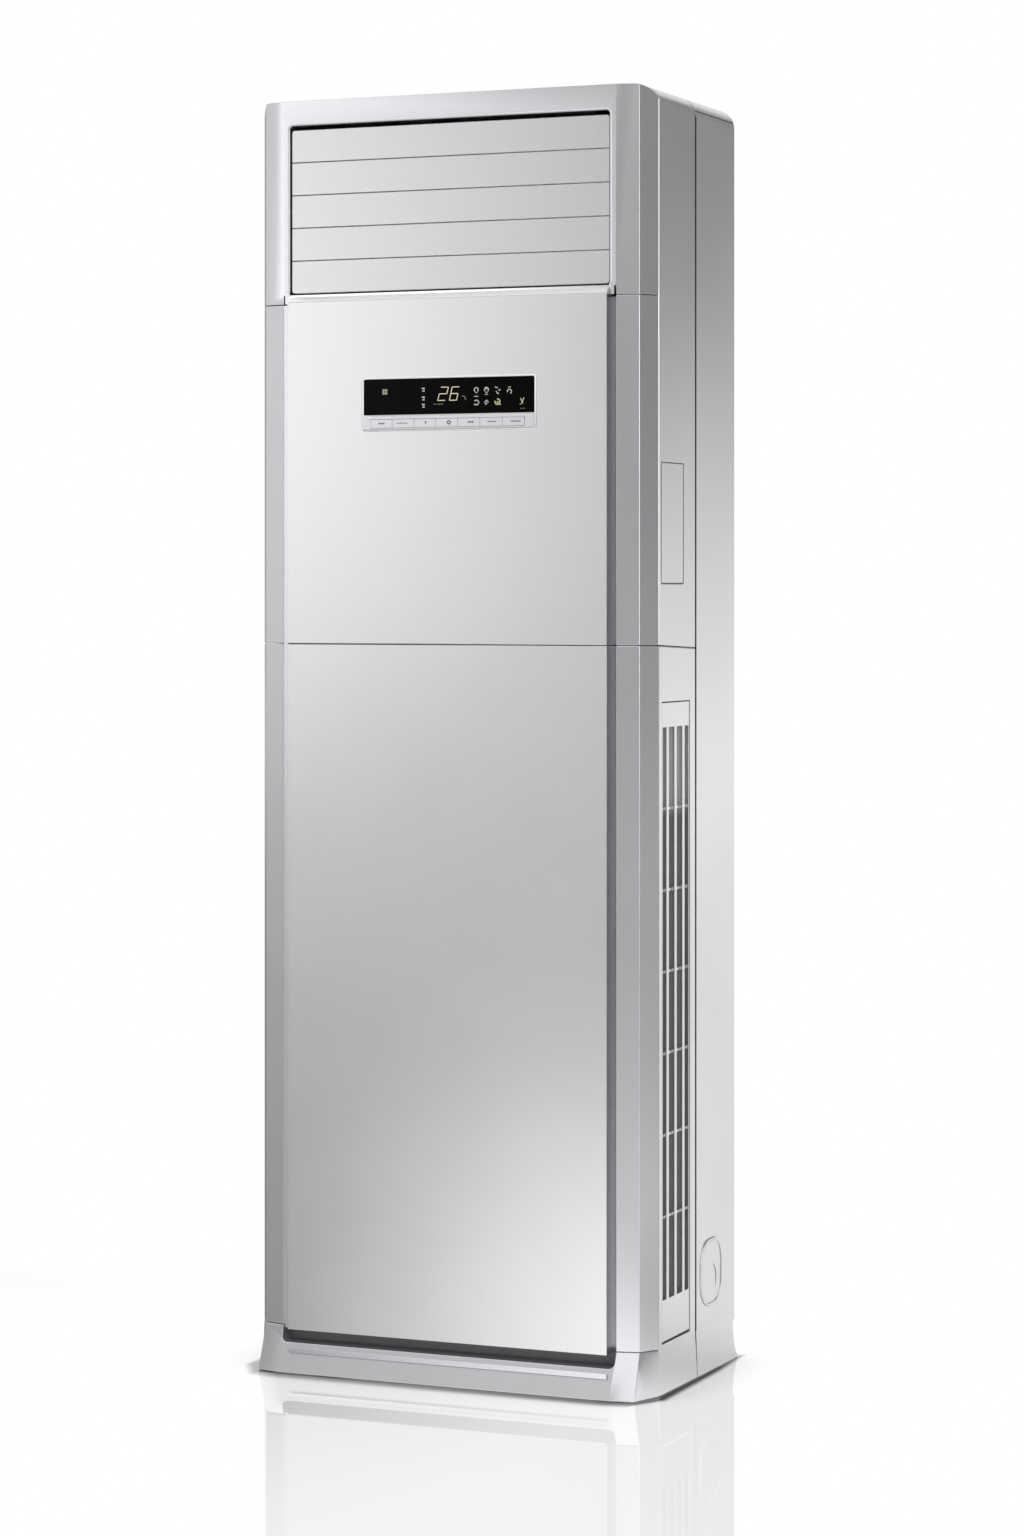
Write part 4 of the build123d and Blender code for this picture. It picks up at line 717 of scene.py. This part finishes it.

# %% [markdown]
# A white rim frames the window and the key strip under it; its whiteness is a painted highlight. It is a flat
# oval section on a closed path with four rounded corners.

# %% Display bezel
bezel_left, bezel_right, bezel_low, bezel_high, bezel_turn = -128.4, 141.4, 1368.6, 1443.9, 4.0
bezel_path = np.vstack([
    round_corner(bezel_right - bezel_turn, bezel_low + bezel_turn, bezel_turn, 270, 360),
    round_corner(bezel_right - bezel_turn, bezel_high - bezel_turn, bezel_turn, 0, 90),
    round_corner(bezel_left + bezel_turn, bezel_high - bezel_turn, bezel_turn, 90, 180),
    round_corner(bezel_left + bezel_turn, bezel_low + bezel_turn, bezel_turn, 180, 270),
])
bezel_section = oval(0.0, flat_front, 1.3, 0.7)
# whiter lacquer: painted highlight on the rim
bezel = swept("display_bezel", bezel_path, bezel_section, rim_painted_highlight, "silver_panel", loop=True)
smooth_sides(bezel)
print("bezel from x", bezel_left, "to", bezel_right)

# %% [markdown]
# Behind the window two lit digits show the set temperature, with rows of small signs to the right and a
# column of three to the left. Their light is weak, a pale warm white, because the window's smoke absorbs
# most of it.

# %% Light of the signs


def lit(name, colour, strength):
    """Emission of one colour, uneven by a fine noise like a printed legend with light behind it."""
    material, tree = new_material(name)
    place = object_place(tree)
    noise = add(tree, "TexNoise", inputs={"Scale": 700.0, "Detail": 1.0})
    join(tree, place, noise, 0, "Vector")
    level = add(tree, "MapRange", inputs={"To Min": 0.8 * strength, "To Max": 1.2 * strength})
    join(tree, noise, level, "Fac", "Value")
    glow = add(tree, "Emission", inputs={"Color": (*colour, 1)})
    join(tree, level, glow, 0, "Strength")
    output = add(tree, "OutputMaterial")
    join(tree, glow, output, 0, "Surface")
    return material


warm_light = lit("warm_light", (1.0, 0.88, 0.60), 0.80)
pale_light = lit("pale_light", (1.0, 0.97, 0.88), 0.50)
yellow_light = lit("yellow_light", (0.95, 0.95, 0.55), 0.50)
dim_light = lit("dim_light", (1.0, 0.98, 0.95), 0.17)
# The receiver's window is no lamp: this glow is painted light.
receiver_painted_glow = lit("receiver_painted_glow", (0.85, 1.0, 0.72), 0.36)
print("five lights made")

# %% [markdown]
# The signs lie a hair in front of the window's face. They're plain shapes of a few strokes each: the two
# digits, then two rows of pale signs at their right and the column of three at their left.

# %% Digits and pale signs
sign_y = flat_front + 0.8 - 0.07
digit_z, digit_height, digit_stroke = 1410.4, 19.0, 1.15
digits = digit("abged", -10.6, digit_z, 11.6, digit_height, 5.4, digit_stroke)
digits += digit("afgedc", 7.8, digit_z, 11.2, digit_height, 4.4, digit_stroke)
signs("sign_digits", digits, sign_y, warm_light, "black_window")

pale = []
for x in (49.8, 65.6):
    pale += [arc(x, 1424.6, 3.1, 1.5, -50, 230), bar(x - 1.6, 1420.6, x + 1.6, 1420.6, 1.4)]
pale += [disc(65.6, 1426.4, 1.4), bar(46.6, 1415.2, 53.0, 1415.2, 1.1), bar(63.2, 1417.8, 68.0, 1417.8, 1.0)]
pale += [bar(79.0, 1428.0, 83.4, 1426.6, 1.5), bar(84.4, 1422.8, 87.4, 1424.4, 1.7)]
pale += [bar(81.4, 1420.0, 84.8, 1418.2, 1.6), bar(80.4, 1421.8, 82.0, 1421.2, 1.4)]
pale += [arc(101.3, 1425.4, 2.4, 1.1, 35, 145), arc(101.3, 1421.2, 3.2, 1.4, -70, 200)]
pale += [disc(98.4, 1422.6, 1.0), arc(50.2, 1406.4, 3.4, 1.5, -150, 120)]
pale += [bar(46.8, 1408.8, 49.4, 1409.4, 1.4), disc(47.4, 1403.6, 1.0)]
pale += [bar(62.6, 1406.0, 65.8, 1409.6, 1.5), bar(65.8, 1409.6, 68.8, 1406.2, 1.5)]
pale += [bar(63.6, 1403.4, 66.6, 1405.6, 1.7)]
signs("sign_right", pale, sign_y, pale_light, "black_window")

column = []
for z in (1426.4, 1413.8, 1403.4):
    column += [bar(-35.6, z + 2.2, -30.6, z + 2.2, 1.1), bar(-34.8, z - 2.2, -31.0, z - 2.2, 1.2)]
    column += [arc(-33.4, z, 1.7, 1.0, -120, 160, 8)]
signs("sign_column", column, sign_y, pale_light, "black_window")
print(len(digits) + len(pale) + len(column), "strokes")

# %% [markdown]
# Some signs are yellowish and some hardly lit. At the far left four small glowing squares stand for the dull
# green window of the remote control's receiver; the receiver is no lamp, so their glow is painted light.

# %% Yellow and dim signs, receiver
yellow = [arc(82.8, 1407.0, 3.9, 1.9, -200, 100), disc(83.0, 1406.4, 1.5)]
yellow += [bar(85.8, 1403.8, 88.0, 1402.4, 1.2)]
yellow += [bar(118.4, 1411.4, 120.0, 1407.6, 1.4), bar(123.8, 1411.8, 121.4, 1407.6, 1.5)]
yellow += [bar(121.0, 1408.0, 121.0, 1403.4, 2.2), bar(117.4, 1403.2, 119.0, 1402.6, 1.2)]
signs("sign_yellow", yellow, sign_y, yellow_light, "black_window")

dim = [bar(-16.6, 1405.2, -13.0, 1405.4, 1.3)]
dim += [bar(-11.0 + 2.4 * k, 1405.2, -9.4 + 2.4 * k, 1405.2, 1.6) for k in range(4)]
dim += [bar(28.0, 1416.6, 31.0, 1415.6, 1.4), bar(31.0, 1416.2, 33.4, 1410.4, 1.5)]
dim += [bar(117.6, 1396.8, 119.0, 1396.8, 1.2), bar(120.0, 1396.8, 125.6, 1396.8, 0.8)]
signs("sign_dim", dim, sign_y, dim_light, "black_window")

receiver_x, receiver_z, half_pitch, square_gap = -93.9, 1424.4, 4.2 / 2, 0.35
half = half_pitch - square_gap
squares = []
for x in (receiver_x - half_pitch, receiver_x + half_pitch):
    for z in (receiver_z - half_pitch, receiver_z + half_pitch):
        squares.append([(x - half, z - half), (x + half, z - half),
                        (x + half, z + half), (x - half, z + half)])
# glowing squares: painted light for the receiver's window
signs("sign_receiver", squares, sign_y, receiver_painted_glow, "black_window")
print(len(yellow) + len(dim) + len(squares), "more")

# %% [markdown]
# Each key carries a small printed mark, nearly black. It moves with its key, so it rides on that key's body.

# %% Key marks
print_grey = plain("print_grey", (0.04, 0.04, 0.045), (0.02, 0.02, 0.025), 0.0, 0.6, 60, 900, 0.1)
mark_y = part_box("key_1")[0][1] / MM - 0.05
mark_z = 1378.6


def dashes(x, length, count, height):
    """A row of short dashes, `length` long in all, centred on x."""
    step = length / count
    starts = x - length / 2 + step * np.arange(count)
    return [bar(start, mark_z, start + 0.62 * step, mark_z, height) for start in starts]


key_marks = [
    dashes(-96.0, 10.5, 4, 2.4),
    dashes(-63.2, 17.0, 7, 1.6),
    [bar(-28.4, mark_z + 1.4, -25.2, mark_z + 1.4, 1.2), bar(-26.8, mark_z + 1.4, -26.8, mark_z - 1.8, 1.2)],
    [bar(6.8, mark_z, 9.8, mark_z + 2.8, 1.5), bar(9.8, mark_z + 2.8, 12.8, mark_z, 1.5),
     bar(12.8, mark_z, 9.8, mark_z - 2.8, 1.5), bar(9.8, mark_z - 2.8, 6.8, mark_z, 1.5)],
    dashes(44.5, 9.5, 3, 2.6),
    dashes(77.0, 13.5, 5, 2.0),
    dashes(113.6, 16.0, 7, 2.2),
]
for number, strokes in enumerate(key_marks, start=1):
    body = "button_%d" % number
    signs("key_mark_%d" % number, strokes, mark_y, print_grey, "strip_silver", body, thick=0.04)
print("marks on", len(key_marks), "keys")

# %% [markdown]
# Floor and studio are lit by numbers worked out in nodes, so they need three more helpers: a smooth step
# between two places, a chain of sums, and single coordinates taken out of three.

# %% Helpers for levels


def ramp(tree, source, start, end, low, high, out=0):
    """low before `start`, high after `end`, and a smooth step between them."""
    made = add(tree, "MapRange", interpolation_type="SMOOTHSTEP",
               inputs={"From Min": start, "From Max": end, "To Min": low, "To Max": high})
    join(tree, source, made, out, "Value")
    return made


def maths(tree, operation, first, *more):
    """The operation on two or more terms, from left to right. A term is a node's first output or a number."""
    for second in more:
        made = add(tree, "Math", operation=operation)
        for place, value in enumerate((first, second)):
            if isinstance(value, (int, float)):
                made.inputs[place].default_value = value
            else:
                join(tree, value, made, 0, place)
        first = made
    return first


def coordinates(tree, place, out, axes):
    """The named axes of one output of `place`, each as a node of its own, for maths() and ramp()."""
    split = add(tree, "SeparateXYZ")
    join(tree, place, split, out, 0)
    parts = []
    for axis in axes:
        passed = add(tree, "Math", operation="ADD")
        join(tree, split, passed, axis, 0)
        passed.inputs[1].default_value = 0.0
        parts.append(passed)
    return parts


print("level helpers ready")

# %% [markdown]
# The cabinet mirrors the floor. For every ray that doesn't come from the camera the floor is a soft card that
# gives off light of its own: dim at the front left, bright close to the right and behind. That is what makes
# the slab darker towards its lower left corner.

# %% Floor as the cabinet mirrors it


def floor_card(tree, place, x, y):
    """Level = right(u) near(r) front(y, u) + beside(u) near(r) + left(u) + behind(v, x) + distant(r, u)
    + 0.49. Here u = x - 0.45 y runs to the right across the view, v = y - 0.4 x runs to the back, and r is
    the distance from the middle."""
    reach = add(tree, "VectorMath", operation="LENGTH")
    join(tree, place, reach, "Object", 0)
    across = maths(tree, "SUBTRACT", x, maths(tree, "MULTIPLY", y, 0.45))
    rear = maths(tree, "SUBTRACT", y, maths(tree, "MULTIPLY", x, 0.4))
    right = ramp(tree, across, -0.35, 0.55, 0.0, 1.0)
    near = ramp(tree, reach, 5.5, 1.2, 0.02, 1.0, "Value")
    front = maths(tree, "MULTIPLY", ramp(tree, y, 0.2, -0.4, 0.0, 1.12),
                  ramp(tree, across, 0.40, 1.1, 1.0, 0.25))
    beside = maths(tree, "MULTIPLY", ramp(tree, across, 1.2, 1.8, 0.0, 0.34), near)
    left = ramp(tree, across, -0.10, -0.24, 0.0, -0.07)
    behind = maths(tree, "MULTIPLY", ramp(tree, rear, -0.4, 0.4, 0.0, 0.62),
                   ramp(tree, x, -0.3, 0.25, -0.2, 1.0))
    distant = maths(tree, "MULTIPLY", ramp(tree, reach, 5.0, 25.0, 0.0, 0.4, "Value"),
                    ramp(tree, across, 1.0, 4.0, 1.0, 0.1))
    level = maths(tree, "MULTIPLY", right, near, front)
    level = maths(tree, "ADD", level, beside, left, behind, maths(tree, "ADD", distant, 0.49))
    card = add(tree, "Emission")
    join(tree, level, card, 0, "Strength")
    return card


print("card ready")

# %% [markdown]
# Where the foot nearly touches the floor there's a narrow dark shadow. Its place comes from the foot's own
# outline: five straight sides with known directions, each pushed out to the foot's outermost low point.

# %% Contact shadow


def foot_sides():
    """The foot's outline on the floor as half planes n . p < s: for each outward normal n (front, the two
    corner facets, side, back) the support s is the largest n . p over the foot's lowest points."""
    lowest = []
    for name in ("base_skirt", "rear_side_right"):
        mesh = nodes[name].data
        points = np.empty(3 * len(mesh.vertices))
        mesh.vertices.foreach_get("co", points)
        points = points.reshape(-1, 3)
        lowest.append(points[points[:, 2] < 0.003, :2])
    lowest = np.vstack(lowest)
    azimuths = np.radians([0.0, 13.6, 59.0, 90.0, 180.0])
    normals = np.column_stack([np.sin(azimuths), -np.cos(azimuths)])
    return [(normal, float((lowest @ normal).max())) for normal in normals]


def contact_shadow(tree, x, y):
    """Level = core(g) glow(occlusion), where g is the largest n . (|x|, y) - s over the foot's sides. The
    corner and side ones are stretched, so that the shadow is narrower there. |x| needs no second term."""
    wide = maths(tree, "ABSOLUTE", x, 0.0)
    gap = None
    for normal, support in foot_sides():
        along_x = maths(tree, "MULTIPLY", wide, float(normal[0]))
        along_y = maths(tree, "MULTIPLY", y, float(normal[1]))
        ahead = maths(tree, "SUBTRACT", maths(tree, "ADD", along_x, along_y), support)
        ahead = maths(tree, "MULTIPLY", ahead, 1.0 + 1.4 * float(normal[0]) ** 2)
        gap = ahead if gap is None else maths(tree, "MAXIMUM", gap, ahead)
    gap = maths(tree, "ADD", gap, ramp(tree, y, 0.06, 0.2, 0.0, 0.016))
    core = ramp(tree, gap, 0.008, 0.042, 0.03, 1.0)
    touch = add(tree, "AmbientOcclusion", samples=8, inputs={"Distance": 0.12})
    glow = ramp(tree, touch, 0.55, 0.95, 0.80, 1.0, "AO")
    return maths(tree, "MULTIPLY", core, glow)


print("foot has", len(foot_sides()), "sides")

# %% [markdown]
# The floor itself is a white glossy sweep. The camera sees it white, with the contact shadow, and with the
# cabinet's mirror image, which fades with the distance in front of the foot.

# %% Floor


def floor_material():
    """Camera: white x contact shadow, mixed with a mirror of share f(x, y). Other rays: the card."""
    material, tree = new_material("floor")
    place = add(tree, "TexCoord")
    x, y = coordinates(tree, place, "Object", "XY")
    white = add(tree, "Emission")
    join(tree, contact_shadow(tree, x, y), white, 0, "Strength")
    mirror = add(tree, "BsdfGlossy", inputs={"Roughness": 0.03, "Color": (1, 1, 1, 1)})
    share = maths(tree, "MULTIPLY", ramp(tree, y, -1.1, -0.18, 0.34, 0.44),
                  ramp(tree, y, 0.5, 0.25, 0.0, 1.0), ramp(tree, x, -0.25, 0.35, 1.1, 0.55))
    seen = add(tree, "MixShader")
    join(tree, share, seen, 0, 0)
    join(tree, white, seen, 0, 1)
    join(tree, mirror, seen, 0, 2)
    path = add(tree, "LightPath")
    both = add(tree, "MixShader")
    join(tree, path, both, "Is Camera Ray", 0)
    join(tree, floor_card(tree, place, x, y), both, 0, 1)
    join(tree, seen, both, 0, 2)
    output = add(tree, "OutputMaterial")
    join(tree, both, output, 0, "Surface")
    return material


floor_half = 30.0
floor_mesh = bpy.data.meshes.new("floor")
floor_corners = laid(np.array([(-1, -1), (1, -1), (1, 1), (-1, 1)]) * floor_half, 2, 0.0)
floor_mesh.from_pydata(floor_corners.tolist(), [], [(0, 1, 2, 3)])
floor = bpy.data.objects.new("floor", floor_mesh)
bpy.context.scene.collection.objects.link(floor)
floor.data.materials.append(floor_material())
print("floor laid, metres across:", 2 * floor_half)

# %% [markdown]
# The studio is a dome of light worked out from the direction alone: a large soft lobe at the front left,
# whose reflection makes the flat panels bright, a dim room at the right that the side casing mirrors, two
# soft lights high up, and plain white at the back left, which is what the floor mirrors behind the cabinet.
# Two small round lights at the right draw the bright lines along the right-hand creases, a weak one in
# front, a third of the way up, lifts the foot, a faint one at the back left gives the left facets their
# grey, and there is a low glow at the back right.

# %% Level of the studio


def lobe(tree, place, aim, start, end, height):
    """height x a smooth step of the cosine between the direction and `aim`, from `start` to `end`."""
    unit = np.array(aim, float) / np.linalg.norm(aim)
    cosine = add(tree, "VectorMath", operation="DOT_PRODUCT")
    join(tree, place, cosine, "Generated", 0)
    cosine.inputs[1].default_value = unit.tolist()
    return ramp(tree, cosine, start, end, 0.0, height, "Value")


def studio_level(tree):
    """Level = base(y) + a sum of lobes + low(x, y, z), and 1 at the back left."""
    place = add(tree, "TexCoord")
    x, y, z = coordinates(tree, place, "Generated", "XYZ")
    base = ramp(tree, y, 0.3, -0.9, 0.24, 0.44)
    front_left = lobe(tree, place, (-0.866, -0.5, 0.05), 0.778, 0.852, 2.5)
    edge = lobe(tree, place, (-0.866, -0.5, 0.05), 0.83, 0.95, -1.85)
    front_left = maths(tree, "MULTIPLY", maths(tree, "ADD", front_left, edge),
                       ramp(tree, z, 0.11, 0.28, 1.0, 0.08))
    ceiling = lobe(tree, place, (0.35, -0.6, 0.75), 0.70, 0.86, 1.0)
    above = lobe(tree, place, (-0.50, -0.05, 0.86), 0.84, 0.94, 1.3)
    crease_near = lobe(tree, place, (0.766, -0.643, 0.0), 0.955, 0.985, 3.6)
    crease_far = lobe(tree, place, (0.82, 0.57, 0.0), 0.955, 0.985, 2.4)
    left_room = lobe(tree, place, (-0.58, 0.81, 0.04), 0.90, 0.96, 0.25)
    foot_light = lobe(tree, place, (-0.27, -0.82, 0.51), 0.970, 0.992, 0.35)
    low = maths(tree, "MULTIPLY", ramp(tree, z, 0.11, -0.02, 0.0, 0.85), ramp(tree, y, 0.5, 0.85, 0.0, 1.0),
                ramp(tree, x, -0.25, 0.1, 0.0, 1.0))
    back_left = lobe(tree, place, (-0.39, 0.92, 0.15), 0.82, 0.91, 1.0)
    back_left = maths(tree, "MULTIPLY", back_left, ramp(tree, z, 0.135, 0.185, 0.0, 1.0))
    front = maths(tree, "ADD", front_left, ceiling)
    level = maths(tree, "ADD", base, low, front, above, crease_near, crease_far, left_room, foot_light)
    kept = maths(tree, "MULTIPLY", level, maths(tree, "SUBTRACT", 1.0, back_left))
    return maths(tree, "ADD", kept, back_left)


print("studio level ready")

# %% [markdown]
# The camera must not see this dome, because the photograph's background is plain white. So the world is
# white for camera rays and the dome for all others.

# %% Studio light
world = bpy.data.worlds.new("studio")
world.use_nodes = True
world.node_tree.nodes.clear()
studio = add(world.node_tree, "Background", inputs={"Color": (1, 1, 1, 1)})
join(world.node_tree, studio_level(world.node_tree), studio, 0, "Strength")
white = add(world.node_tree, "Background", inputs={"Color": (1, 1, 1, 1), "Strength": 1.0})
path = add(world.node_tree, "LightPath")
mix = add(world.node_tree, "MixShader")
join(world.node_tree, path, mix, "Is Camera Ray", 0)
join(world.node_tree, studio, mix, 0, 1)
join(world.node_tree, white, mix, 0, 2)
output = add(world.node_tree, "OutputWorld")
join(world.node_tree, mix, output, 0, "Surface")
bpy.context.scene.world = world
bpy.context.scene.view_settings.view_transform = "Standard"
print("studio lit by", len(world.node_tree.nodes), "nodes")
